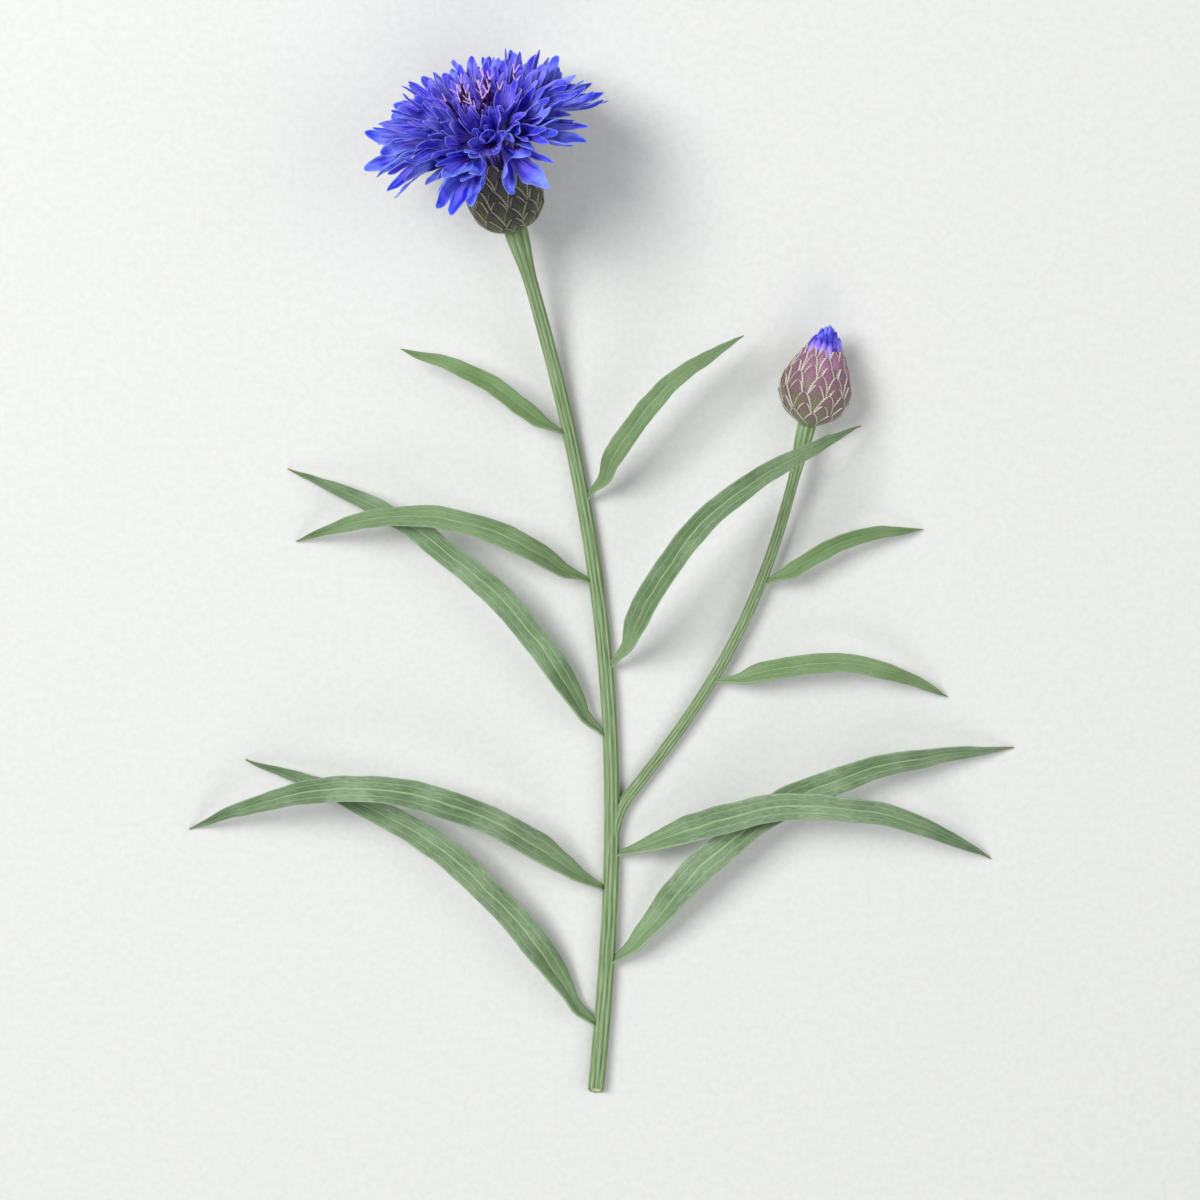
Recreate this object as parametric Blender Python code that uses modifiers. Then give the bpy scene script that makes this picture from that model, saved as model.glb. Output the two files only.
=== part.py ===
"""A double blue cornflower, as picked: one flowering stem with its leaves and one side shoot that
ends in a closed bud. It lies on a flat surface at z = 0, with the head towards +Y.

The stem runs flat along the surface and rises at the neck. The head leans on the rim of its
lowest florets. Lengths below are in millimetres, and MM turns them into Blender's metres.
"""

import math

import bmesh
import bpy
from mathutils import Matrix, Vector

MM = 0.001
GAP = 0.3  # between pieces that touch in nature
UP = Vector((0, 0, 1))

# Stem, measured back along its line from the base of the flower head
STEM_LENGTH = 150.0
STEM_RADII = (1.9, 1.1, 1.4)  # just below the head, behind the flare, at the cut end
FLARE_LENGTH = 10.0
HEAD_TILT = math.radians(25)  # of the head's axis above the surface
HEAD_LEAN = math.radians(-15)  # of the head's axis from +Y, towards +X
FOOT_LEAN = math.radians(5)  # of the stem at its cut end
LINE_STEP = 0.5  # between the points that a stalk's line is kept as

# Outlines as radii at heights above the base
CUP_OUTLINE = ((0, 2.3), (2, 4.9), (4, 6.0), (6, 6.35), (8, 6.2), (10, 5.8), (12, 5.3), (15, 4.9))
CUP_CORE = ((0.3, 1.1), (2.0, 2.6), (4.0, 3.9), (6.0, 4.4), (7.4, 4.2), (8.4, 3.0), (8.9, 1.5))
BUD_OUTLINE = ((0, 1.9), (2, 4.5), (4, 5.7), (6, 6.1), (8, 5.75), (10, 4.9), (12, 3.8), (14, 2.9))
BUD_CORE = ((0.3, 0.8), (2.0, 2.2), (4.0, 3.6), (6.0, 4.2), (8.0, 3.8), (9.6, 2.6), (10.4, 1.3))
BRACT_ROWS = ((0.5, 4.5), (3.7, 7.9), (7.1, 11.0), (10.2, 13.4))  # lower and upper edge
BRACT_WALL = 0.28
BRACT_SLANT = 1.0  # how far a row's lower edge is tucked in behind the row below
BRACTS_PER_ROW = 9
BRACT_POINT = 0.7  # rise of a bract's tip above the edge of its row
CORE_SIDES = 14

# Side shoot
SHOOT_BACK = 98.0  # where it leaves the stem, back from the head
SHOOT_LENGTH = 70.0
SHOOT_RADII = (1.5, 0.9, 0.95)
SHOOT_HEADINGS = (math.radians(38), math.radians(12))  # from the stem's own line at its foot, then from +Y
SHOOT_RISE = 2.2  # power of the share of its length by which it climbs to the bud
BUD_TILT = math.radians(7)
BUD_TUFT = ((11.2, 0.8), (12.0, 1.8), (13.6, 2.4), (15.0, 2.3), (16.2, 1.5))

# Florets: count, foot radius, foot height, length, angle from the head's axis, half width, half depth
OUTER_FLORETS = (10, 3.2, 8.8, 23.6, 85.0, 4.9, 2.7)
MIDDLE_FLORETS = (10, 2.45, 9.3, 22.4, 60.0, 4.1, 2.3)
INNER_FLORETS = (7, 1.6, 9.6, 19.2, 35.0, 3.2, 2.0)
DISC_FLORETS = (5, 0.8, 9.8, 14.6, 9.0, 1.0, 1.0)
# Share of the ring's length and degrees of lift of each outer floret, from the one below on the left
OUTER_SWAY = (
    (1.0, 0), (0.97, -2), (1.0, 3), (1.03, 5), (0.98, -4),
    (0.93, -8), (0.92, 2), (1.0, 4), (0.96, -3), (1.0, 0),
)
FOOT_ANGLE = math.radians(3)  # of a floret from the head's axis, inside the cup
BORE = 0.14  # radius of a floret's tube inside
PETAL_WALL = 0.22
MOUTH_HEIGHT = 13.8  # above this the florets bend outwards
BEND_LENGTH = 6.2
FLORET_STATIONS = (0.0, 0.12, 0.38, 0.58, 0.8, 1.0)  # shares of a floret's length
FUNNEL_START = 0.38
FUNNEL_FLARE = 1.1  # power of the share along the funnel by which it widens
NOTCH = 0.86  # share of the length that the rim reaches between two lobes

# Leaves: name, back from the head, heading from the stem at the foot and at the tip, length, width,
# height of the arch, height of the tip
STEM_LEAVES = (
    ("leaf_01", 138.0, -32, -80, 76, 4.8, 5.0, 0.2),
    ("leaf_02", 127.0, 28, 86, 80, 5.0, 6.0, 0.2),
    ("leaf_03", 114.0, -48, -120, 76, 4.8, 11.0, 0.2),
    ("leaf_04", 108.0, 58, 122, 66, 4.6, 9.0, 0.2),
    ("leaf_05", 88.0, -24, -68, 70, 4.3, 6.0, 0.2),
    ("leaf_06", 76.0, 20, 78, 60, 4.1, 14.0, 6.0),
    ("leaf_07", 62.0, -40, -108, 52, 3.8, 9.0, 0.2),
    ("leaf_08", 48.0, 28, 74, 38, 3.3, 7.0, 7.0),
    ("leaf_09", 37.0, -30, -64, 30, 2.9, 4.0, 5.0),
)
SHOOT_LEAVES = (
    ("shoot_leaf_01", 46.0, 34, 92, 40, 3.4, 5.0, 0.2),
    ("shoot_leaf_02", 28.0, 26, 70, 28, 2.8, 3.0, 0.2),
)
LEAF_WALL = 0.36
LEAF_ROWS = 14
LEAF_STEPS = 60  # along a leaf's midrib, for working out its curve
LEAF_FOOT = (0.55, 0.2)  # share of the width at the foot, and share of the length where it is full
LEAF_TAPER = (4.2, 0.9)  # powers that set how late and how finely the blade tapers
LEAF_ROLL = (math.radians(58), math.radians(8), 0.35)  # of the blade at its foot, beyond, and where that is
LEAF_CHANNEL = 0.35  # rise of a leaf's edges above its midrib, as a share of the half width
LEAF_END = 0.985  # share of a leaf's outline at which the tip is cut, so that it keeps some width


def lerp(start, end, share):
    return start + (end - start) * share


def smooth(share):
    share = min(1.0, max(0.0, share))
    return share * share * (3 - 2 * share)


def along(outline, height):
    """The radius of an outline at a height, on straight lines between its points."""
    for (low, near), (high, far) in zip(outline, outline[1:]):
        if height <= high:
            return lerp(near, far, max(0.0, (height - low) / (high - low)))
    return outline[-1][1]


def direction(lean, tilt=0.0):
    """A unit vector that leans from +Y towards +X, and is tilted up from the surface."""
    return Vector((math.sin(lean) * math.cos(tilt), math.cos(lean) * math.cos(tilt), math.sin(tilt)))


def head_frame(base, tilt, lean):
    """The frame of a head: its origin at the base, +Z along the axis, and +X towards the surface below."""
    axis = direction(lean, tilt)
    down = (-UP + axis * axis.z).normalized()
    turn = Matrix((down, axis.cross(down), axis)).transposed().to_4x4()
    return Matrix.Translation(base) @ turn


# ---- materials, and the three ways a piece is made ----


def material(name, colour, roughness):
    """A Principled BSDF from an sRGB hex colour."""
    made = bpy.data.materials.new(name)
    made.use_nodes = True
    shader = made.node_tree.nodes["Principled BSDF"]
    channels = [int(colour[i : i + 2], 16) / 255 for i in (1, 3, 5)]
    linear = [c / 12.92 if c <= 0.04045 else ((c + 0.055) / 1.055) ** 2.4 for c in channels]
    shader.inputs["Base Color"].default_value = (*linear, 1)
    shader.inputs["Roughness"].default_value = roughness
    shader.inputs["Metallic"].default_value = 0
    return made


def sheet(name, columns, rows, place, wall, offset, finish):
    """A grid laid out by place(across, along) and given a thickness.

    Offset 1 thickens it on the side that (step across) x (step along) points to, and 0 on both.
    """
    mesh = bpy.data.meshes.new(name)
    work = bmesh.new()
    bmesh.ops.create_grid(work, x_segments=columns, y_segments=rows, size=0.5)
    for vertex in work.verts:
        vertex.co = place(vertex.co.x + 0.5, vertex.co.y + 0.5) * MM
    bmesh.ops.remove_doubles(work, verts=work.verts, dist=0.01 * MM)
    for face in work.faces:
        face.smooth = True
    work.to_mesh(mesh)
    work.free()
    mesh.materials.append(finish)
    obj = bpy.data.objects.new(name, mesh)
    PARTS.objects.link(obj)
    skin = obj.modifiers.new("thickness", "SOLIDIFY")
    skin.thickness = wall * MM
    skin.offset = offset


def turned_solid(name, outline, sides, frame, finish):
    """A solid turned about the frame's Z axis from (height, radius) points, and closed at both ends."""
    mesh = bpy.data.meshes.new(name)
    work = bmesh.new()
    # The profile runs down the outer side, so that the turned faces point outwards.
    profile = [(outline[-1][0], 0.0), *reversed(outline), (outline[0][0], 0.0)]
    points = [work.verts.new(Vector((radius, 0, height)) * MM) for height, radius in profile]
    for first, second in zip(points, points[1:]):
        work.edges.new((first, second))
    work.to_mesh(mesh)
    work.free()
    mesh.materials.append(finish)
    obj = bpy.data.objects.new(name, mesh)
    PARTS.objects.link(obj)
    obj.matrix_world = frame
    obj.location *= MM
    turn = obj.modifiers.new("turn", "SCREW")
    turn.steps = turn.render_steps = sides
    turn.use_merge_vertices = True
    turn.merge_threshold = 0.01 * MM
    turn.use_smooth_shade = True


def rod(name, points, radii, finish):
    """A round stalk through the points, capped at both ends."""
    curve = bpy.data.curves.new(name, "CURVE")
    curve.dimensions = "3D"
    curve.bevel_depth = MM
    curve.bevel_resolution = 2
    curve.use_fill_caps = True
    line = curve.splines.new("POLY")
    line.points.add(len(points) - 1)
    for spot, point, radius in zip(line.points, points, radii):
        spot.co = (*(point * MM), 1)
        spot.radius = radius
    line.use_smooth = True
    curve.materials.append(finish)
    PARTS.objects.link(bpy.data.objects.new(name, curve))


# ---- stalks ----


class Stalk:
    """The line of a stalk, kept from the base of its head back to its foot, and its radius."""

    def __init__(self, spots, radii):
        self.spots, self.radii = spots, radii
        self.length = (len(spots) - 1) * LINE_STEP

    def at(self, back):
        """The point on the line at this distance back from the head."""
        spot = min(max(0.0, back) / LINE_STEP, len(self.spots) - 1.001)
        return self.spots[int(spot)].lerp(self.spots[int(spot) + 1], spot % 1)

    def heading(self, back):
        """The angle of the line from +Y towards +X, seen from above."""
        step = self.at(back - 1) - self.at(back + 1)
        return math.atan2(step.x, step.y)

    def radius(self, back):
        flare, neck, foot = self.radii
        return lerp(flare, lerp(neck, foot, back / self.length), smooth(back / FLARE_LENGTH))

    def build(self, name, count, finish):
        # The points stand closer together near the head, where the stalk flares.
        backs = [self.length * (i / count) ** 1.5 for i in range(count + 1)]
        rod(name, [self.at(back) for back in backs], [self.radius(back) for back in backs], finish)


def stem_line(head):
    """Back from the head: down the curve of the neck, then level along the surface."""
    rise = head.z - STEM_RADII[2]
    neck = rise * HEAD_TILT / (1 - math.cos(HEAD_TILT))
    spots = [head]
    for i in range(round(STEM_LENGTH / LINE_STEP)):
        back = (i + 0.5) * LINE_STEP
        lean = lerp(HEAD_LEAN, FOOT_LEAN, smooth(back / STEM_LENGTH))
        tilt = HEAD_TILT * max(0.0, 1 - back / neck)
        spots.append(spots[-1] - direction(lean, tilt) * LINE_STEP)
    return spots


def shoot_line(stem):
    """From the side of the stem outwards, and up to the height of the bud's base."""
    start, end = SHOOT_HEADINGS
    lean = stem.heading(SHOOT_BACK)
    beside = Vector((math.cos(lean), -math.sin(lean), 0))
    spots = [stem.at(SHOOT_BACK) + beside * (stem.radius(SHOOT_BACK) + GAP + SHOOT_RADII[2])]
    count = round(SHOOT_LENGTH / LINE_STEP)
    # The bud's widest row rests on the surface.
    bud_base = max(far * math.cos(BUD_TILT) - height * math.sin(BUD_TILT) for height, far in BUD_OUTLINE)
    for i in range(count):
        share = (i + 1) / count
        spot = spots[-1] + direction(lerp(lean + start, end, smooth(share))) * LINE_STEP
        spot.z = lerp(spots[0].z, bud_base, share**SHOOT_RISE)
        spots.append(spot)
    return spots[::-1]


# ---- florets ----


def floret_line(foot_radius, foot_height, length, angle):
    """The line of a floret, as a function from the distance along it to (radius, height, angle)."""
    rising = MOUTH_HEIGHT - foot_height
    spots = [(foot_radius, foot_height, FOOT_ANGLE)]
    for i in range(math.ceil(length / LINE_STEP) + 1):
        bent = smooth(((i + 0.5) * LINE_STEP - rising) / BEND_LENGTH)
        lean = lerp(FOOT_ANGLE, math.radians(angle), bent)
        radius, height, _ = spots[-1]
        spots.append((radius + math.sin(lean) * LINE_STEP, height + math.cos(lean) * LINE_STEP, lean))

    def at(distance):
        place = distance / LINE_STEP
        return tuple(lerp(a, b, place % 1) for a, b in zip(spots[int(place)], spots[int(place) + 1]))

    return at


def floret_point(line, reach, length, size, around):
    """A point on the inside of a floret, in the head's frame before the floret is turned into place."""
    radius, height, lean = line(reach * length)
    opened = max(0.0, (reach - FUNNEL_START) / (1 - FUNNEL_START)) ** FUNNEL_FLARE
    wide, deep = (lerp(BORE, half, opened) if reach else 0.0 for half in size)
    over = Vector((-math.cos(lean), 0, math.sin(lean)))
    beside = Vector((0, -wide * math.sin(around), 0))
    return Vector((radius, 0, height)) + over * (deep * math.cos(around)) + beside


def floret(name, ring, turn, frame, lobes, sway, finish):
    """One trumpet: a slender tube that opens into a funnel with a lobed rim."""
    _, foot_radius, foot_height, length, angle, *size = ring
    length *= sway[0]
    line = floret_line(foot_radius, foot_height, length, angle - sway[1])
    sides = 2 * lobes
    placing = frame @ Matrix.Rotation(turn, 4, "Z")

    def place(across, share):
        side = round(across * sides) % sides
        reach = FLORET_STATIONS[round(share * (len(FLORET_STATIONS) - 1))]
        if reach == 1 and side % 2:
            reach = NOTCH
        return placing @ floret_point(line, reach, length, size, 2 * math.pi * side / sides)

    sheet(name, sides, len(FLORET_STATIONS) - 1, place, PETAL_WALL, 1, finish)


def ring_of_florets(prefix, ring, first_turn, frame, finish, lobes=5, sways=((1.0, 0),)):
    for i in range(ring[0]):
        turn = first_turn + 2 * math.pi * i / ring[0]
        floret(f"{prefix}_{i + 1:02d}", ring, turn, frame, lobes, sways[i % len(sways)], finish)


def rim_below(frame):
    """How far the rim of the lowest outer florets reaches below the origin of a head's frame."""
    count, foot_radius, foot_height, length, angle, *size = OUTER_FLORETS
    line = floret_line(foot_radius, foot_height, length, angle)
    placing = frame.to_3x3() @ Matrix.Rotation(math.pi / count, 3, "Z")
    arounds = [math.radians(degrees) for degrees in range(0, 360, 12)]
    rim = [placing @ floret_point(line, 1, length, size, around) for around in arounds]
    return -min(point.z for point in rim)


# ---- involucre and bud ----


def bract_row(name, edges, outline, first_side, frame, finish):
    """One row of bracts, joined into a collar with a point at the tip of each bract."""
    low, high = edges
    sides = 2 * BRACTS_PER_ROW

    def place(across, share):
        side = round(across * sides) % sides
        height = lerp(low, high, share)
        if share == 1 and side % 2 == first_side:
            height += BRACT_POINT
        radius = along(outline, height) - BRACT_WALL - BRACT_SLANT * (1 - share)
        around = 2 * math.pi * side / sides
        return frame @ Vector((radius * math.cos(around), radius * math.sin(around), height))

    sheet(name, sides, 2, place, BRACT_WALL, 1, finish)


def cup(prefix, frame, outline, core, finishes):
    """The rows of bracts, one behind another, around a solid core."""
    turned_solid(f"{prefix}_core", core, CORE_SIDES, frame, finishes["core"])
    for i, edges in enumerate(BRACT_ROWS):
        bract_row(f"{prefix}_bract_row_{i + 1}", edges, outline, i % 2, frame, finishes["bract"])


# ---- leaves ----


def leaf_width(share):
    """Share of a leaf's full width: a narrowed foot, long straight sides and a pointed tip."""
    tapered = (1 - share ** LEAF_TAPER[0]) ** LEAF_TAPER[1]
    return lerp(LEAF_FOOT[0], 1.0, smooth(share / LEAF_FOOT[1])) * tapered


def leaf(name, stalk, back, start, end, length, width, arch, tip_height, finish):
    """A narrow channelled leaf that leaves the stalk at an angle, arches over and turns outwards."""
    side = math.copysign(1, start)
    lean = stalk.heading(back)
    inner_edge = width / 2 * leaf_width(0) * math.cos(LEAF_ROLL[0]) * math.cos(math.radians(start))
    out = stalk.radius(back) + GAP + LEAF_WALL / 2 + inner_edge
    foot = stalk.at(back) + Vector((math.cos(lean), -math.sin(lean), 0)) * side * out
    bends = [lerp(start, end, smooth(i / LEAF_STEPS)) for i in range(LEAF_STEPS + 1)]
    headings = [lean + math.radians(bend) for bend in bends]
    spots = [foot]
    for i in range(LEAF_STEPS):
        share = (i + 1) / LEAF_STEPS
        spot = spots[-1] + direction(headings[i]) * (length / LEAF_STEPS)
        spot.z = lerp(foot.z, tip_height, share) + arch * 4 * share * (1 - share)
        spots.append(spot)

    def place(across, share):
        near = min(int(share * LEAF_STEPS), LEAF_STEPS - 1)
        centre = spots[near].lerp(spots[near + 1], share * LEAF_STEPS - near)
        roll = lerp(LEAF_ROLL[0], LEAF_ROLL[1], smooth(share / LEAF_ROLL[2])) * side
        level = Vector((math.cos(headings[near]), -math.sin(headings[near]), 0))
        half = width / 2 * leaf_width(share * LEAF_END)
        from_midrib = 2 * across - 1
        spot = centre + (level * math.cos(roll) + UP * math.sin(roll)) * (half * from_midrib)
        spot.z = max(spot.z + LEAF_CHANNEL * half * abs(from_midrib), LEAF_WALL / 2)
        return spot

    sheet(name, 2, LEAF_ROWS, place, LEAF_WALL, 0, finish)


# ---- assembly ----


def set_origin_under_middle():
    """Moves all parts so that the origin is at the middle of the bottom of their box."""
    bpy.context.view_layer.update()
    graph = bpy.context.evaluated_depsgraph_get()
    points = []
    for obj in PARTS.objects:
        shape = obj.evaluated_get(graph)
        points += [shape.matrix_world @ vertex.co for vertex in shape.to_mesh().vertices]
        shape.to_mesh_clear()
    low = Vector([min(point[k] for point in points) for k in range(3)])
    high = Vector([max(point[k] for point in points) for k in range(3)])
    shift = Matrix.Translation((-(low.x + high.x) / 2, -(low.y + high.y) / 2, -low.z))
    for obj in PARTS.objects:
        obj.matrix_world = shift @ obj.matrix_world


def main():
    for obj in list(bpy.data.objects):
        bpy.data.objects.remove(obj, do_unlink=True)
    bpy.context.scene.collection.children.link(PARTS)
    blue = material("cornflower_blue", "#4a48dc", 0.6)
    violet = material("disc_violet", "#7a3fc0", 0.6)
    stem_green = material("woolly_stem", "#8fa378", 0.8)
    leaf_green = material("woolly_leaf", "#7d9a78", 0.8)
    cups = {"core": material("cup_core", "#8c9a6a", 0.8), "bract": material("bract", "#4c4740", 0.7)}

    # The head is set at the height where its two lowest florets touch the surface.
    head = Vector((0, 0, rim_below(head_frame(Vector(), HEAD_TILT, HEAD_LEAN)) + PETAL_WALL / 2))
    frame = head_frame(head, HEAD_TILT, HEAD_LEAN)
    stem = Stalk(stem_line(head), STEM_RADII)
    stem.build("stem", 32, stem_green)
    cup("head", frame, CUP_OUTLINE, CUP_CORE, cups)
    half_step = math.pi / OUTER_FLORETS[0]
    ring_of_florets("outer_floret", OUTER_FLORETS, half_step, frame, blue, sways=OUTER_SWAY)
    ring_of_florets("middle_floret", MIDDLE_FLORETS, 0.0, frame, blue)
    ring_of_florets("inner_floret", INNER_FLORETS, half_step, frame, blue)
    ring_of_florets("disc_floret", DISC_FLORETS, 0.0, frame, violet, lobes=4)

    shoot = Stalk(shoot_line(stem), SHOOT_RADII)
    shoot.build("side_shoot", 20, stem_green)
    bud = head_frame(shoot.at(0), BUD_TILT, shoot.heading(1.0))
    cup("bud", bud, BUD_OUTLINE, BUD_CORE, cups)
    turned_solid("bud_tuft", BUD_TUFT, CORE_SIDES, bud, violet)

    for name, *shape in STEM_LEAVES:
        leaf(name, stem, *shape, leaf_green)
    for name, *shape in SHOOT_LEAVES:
        leaf(name, shoot, *shape, leaf_green)


PARTS = bpy.data.collections.new("cornflower")

if __name__ == "__main__":
    main()
    set_origin_under_middle()
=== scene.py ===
"""Looks of a double blue cornflower, picked and laid down: a ribbed woolly stem, channelled grey-green
leaves, a cup of fringed bracts, trumpet florets cut into pointed lobes, violet disc florets, and a side
shoot with a closed bud.

The file is laid out as an add-on and is run as a script. Lengths in the formulas are in millimetres,
and MM turns them into metres.
"""

import math
import random

import bmesh
import bpy
from bpy.props import FloatProperty, FloatVectorProperty, IntProperty, PointerProperty
from mathutils import Matrix, Vector


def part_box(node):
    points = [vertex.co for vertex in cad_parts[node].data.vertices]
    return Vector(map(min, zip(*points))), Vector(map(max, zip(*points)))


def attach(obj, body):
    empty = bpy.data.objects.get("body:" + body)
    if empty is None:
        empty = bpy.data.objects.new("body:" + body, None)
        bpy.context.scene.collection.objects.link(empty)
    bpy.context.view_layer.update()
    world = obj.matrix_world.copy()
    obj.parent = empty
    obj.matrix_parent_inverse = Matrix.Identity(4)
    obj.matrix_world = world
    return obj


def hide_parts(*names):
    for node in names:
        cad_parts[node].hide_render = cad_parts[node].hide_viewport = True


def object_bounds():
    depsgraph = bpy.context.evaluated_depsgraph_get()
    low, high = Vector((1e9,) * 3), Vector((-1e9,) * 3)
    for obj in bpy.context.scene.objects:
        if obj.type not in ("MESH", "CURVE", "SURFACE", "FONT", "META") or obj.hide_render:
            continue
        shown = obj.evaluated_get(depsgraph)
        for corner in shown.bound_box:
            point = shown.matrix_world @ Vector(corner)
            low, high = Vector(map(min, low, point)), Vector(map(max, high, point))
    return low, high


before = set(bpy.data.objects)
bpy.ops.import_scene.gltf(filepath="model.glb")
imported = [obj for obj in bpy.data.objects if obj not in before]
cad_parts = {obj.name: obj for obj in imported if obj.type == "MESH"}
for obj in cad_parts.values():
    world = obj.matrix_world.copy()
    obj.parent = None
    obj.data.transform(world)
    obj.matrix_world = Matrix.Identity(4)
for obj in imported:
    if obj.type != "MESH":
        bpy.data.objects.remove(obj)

bl_info = {
    "name": "Cornflower",
    "version": (1, 0, 0),
    "blender": (4, 5, 0),
    "location": "3D View > Sidebar > Cornflower",
    "description": "Builds the looks of a picked double cornflower around its solids",
    "category": "Object",
}

CAD_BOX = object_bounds()
MM = 0.001
UP = Vector((0, 0, 1))

# ---- sizes shared with the solids, in millimetres ----

GAP = 0.3  # between two solids where one grows from the other
LINE_STEP = 0.5  # from one kept spot of a stalk's line to the next
STEM_LENGTH = 150.0
STEM_RADII = (1.9, 1.1, 1.4)  # just below the head, behind the flare, at the cut end
FLARE_LENGTH = 10.0
HEAD_TILT = math.radians(25)  # up from the surface
HEAD_LEAN = math.radians(-15)  # from +Y towards +X
FOOT_LEAN = math.radians(5)
# Outlines of the cup and the bud: height and radius.
CUP_OUTLINE = ((0, 2.3), (2, 4.9), (4, 6.0), (6, 6.35), (8, 6.2), (10, 5.8), (12, 5.3), (15, 4.9))
BUD_OUTLINE = ((0, 1.9), (2, 4.5), (4, 5.7), (6, 6.1), (8, 5.75), (10, 4.9), (12, 3.8), (14, 2.9))
SHOOT_BACK = 98.0  # from the head back to the fork
SHOOT_LENGTH = 70.0
SHOOT_RADII = (1.5, 0.9, 0.95)
SHOOT_HEADINGS = (math.radians(38), math.radians(12))  # out of the stem, and at the bud
SHOOT_RISE = 2.2  # power with which the side shoot rises to the bud
BUD_TILT = math.radians(7)
BORE = 0.14  # radius of a floret's tube
FOOT_ANGLE = math.radians(3)  # of a floret's foot from the head's axis
MOUTH_HEIGHT = 13.8  # in the head, where the florets leave the cup
BEND_LENGTH = 6.2
FUNNEL_START = 0.38  # share of a floret's length where its tube widens
# Leaves: name, place back from the head, degrees from the stalk at foot and at tip, length, width, height of
# the arch, height of the tip.
STEM_LEAVES = (
    ("leaf_01", 138.0, -32, -80, 76, 4.8, 5.0, 0.2),
    ("leaf_02", 127.0, 28, 86, 80, 5.0, 6.0, 0.2),
    ("leaf_03", 114.0, -48, -120, 76, 4.8, 11.0, 0.2),
    ("leaf_04", 108.0, 58, 122, 66, 4.6, 9.0, 0.2),
    ("leaf_05", 88.0, -24, -68, 70, 4.3, 6.0, 0.2),
    ("leaf_06", 76.0, 20, 78, 60, 4.1, 14.0, 6.0),
    ("leaf_07", 62.0, -40, -108, 52, 3.8, 9.0, 0.2),
    ("leaf_08", 48.0, 28, 74, 38, 3.3, 7.0, 7.0),
    ("leaf_09", 37.0, -30, -64, 30, 2.9, 4.0, 5.0),
)
SHOOT_LEAVES = (
    ("shoot_leaf_01", 46.0, 34, 92, 40, 3.4, 5.0, 0.2),
    ("shoot_leaf_02", 28.0, 26, 70, 28, 2.8, 3.0, 0.2),
)
LEAF_WALL = 0.36
LEAF_STEPS = 60
LEAF_FOOT = (0.55, 0.2)  # share of the full width at the foot, and share of the length where it is full
LEAF_TAPER = (4.2, 0.9)
LEAF_ROLL = (math.radians(58), math.radians(8), 0.35)  # at the foot, further on, and from what share on
LEAF_CHANNEL = 0.35  # height of the rims over the midrib, as a share of half the width


def lerp(start, end, share):
    return start + (end - start) * share


def smooth(share):
    share = min(1.0, max(0.0, share))
    return share * share * (3 - 2 * share)


def direction(lean, tilt=0.0):
    """A unit vector that leans from +Y towards +X, and is tilted up from the surface."""
    return Vector((math.sin(lean) * math.cos(tilt), math.cos(lean) * math.cos(tilt), math.sin(tilt)))


def head_frame(base, tilt, lean):
    """The frame of a head, in metres: origin at its base, +Z along its axis, +X towards the surface."""
    axis = direction(lean, tilt)
    down = (-UP + axis * axis.z).normalized()
    turn = Matrix((down, axis.cross(down), axis)).transposed().to_4x4()
    return Matrix.Translation(base * MM) @ turn


def outline_radius(outline, height):
    """The radius of an outline at a height, on a smooth curve through its points."""
    heights = [point[0] for point in outline]
    last = len(outline) - 1
    k = max(0, min(last - 1, sum(h <= height for h in heights) - 1))
    radii = [outline[max(0, min(last, k + j))][1] for j in (-1, 0, 1, 2)]
    t = min(1.0, max(0.0, (height - heights[k]) / (heights[k + 1] - heights[k])))
    a, b, c, d = radii
    return 0.5 * (2 * b + (c - a) * t + (2 * a - 5 * b + 4 * c - d) * t**2 + (3 * b - a - 3 * c + d) * t**3)


def end_of(node, axis):
    """The middle of the flat end of a solid that lies furthest along an axis, in millimetres."""
    corners = {tuple(round(c, 7) for c in vertex.co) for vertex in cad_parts[node].data.vertices}
    far = max(Vector(corner).dot(axis) for corner in corners)
    face = [Vector(corner) for corner in corners if far - Vector(corner).dot(axis) < 0.02 * MM]
    return sum(face, Vector()) / len(face) / MM


# ---- stalks ----


class Stalk:
    """The line of a stalk, kept from the base of its head back to its foot, and its radius."""

    def __init__(self, spots, radii):
        self.spots, self.radii = spots, radii
        self.length = (len(spots) - 1) * LINE_STEP

    def at(self, back):
        # Held just short of the last spot, so that there is always a next one.
        spot = min(max(0.0, back) / LINE_STEP, len(self.spots) - 1.001)
        return self.spots[int(spot)].lerp(self.spots[int(spot) + 1], spot % 1)

    def aim(self, back):
        return (self.at(back - 1) - self.at(back + 1)).normalized()

    def heading(self, back):
        step = self.aim(back)
        return math.atan2(step.x, step.y)

    def radius(self, back):
        flare, neck, foot = self.radii
        return lerp(flare, lerp(neck, foot, back / self.length), smooth(back / FLARE_LENGTH))


def stem_line(head, level):
    """Back from the head: down the curve of the neck, then level along the surface."""
    neck = (head.z - level) * HEAD_TILT / (1 - math.cos(HEAD_TILT))
    spots = [head]
    for i in range(round(STEM_LENGTH / LINE_STEP)):
        back = (i + 0.5) * LINE_STEP
        lean = lerp(HEAD_LEAN, FOOT_LEAN, smooth(back / STEM_LENGTH))
        spots.append(spots[-1] - direction(lean, HEAD_TILT * max(0.0, 1 - back / neck)) * LINE_STEP)
    return spots


def shoot_line(stem, bud_base):
    """From the side of the stem outwards, and up to the base of the bud."""
    start, end = SHOOT_HEADINGS
    lean = stem.heading(SHOOT_BACK)
    beside = Vector((math.cos(lean), -math.sin(lean), 0))
    spots = [stem.at(SHOOT_BACK) + beside * (stem.radius(SHOOT_BACK) + GAP + SHOOT_RADII[2])]
    count = round(SHOOT_LENGTH / LINE_STEP)
    for i in range(count):
        share = (i + 1) / count
        spot = spots[-1] + direction(lerp(lean + start, end, smooth(share))) * LINE_STEP
        spot.z = lerp(spots[0].z, bud_base, share**SHOOT_RISE)
        spots.append(spot)
    return spots[::-1]


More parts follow.
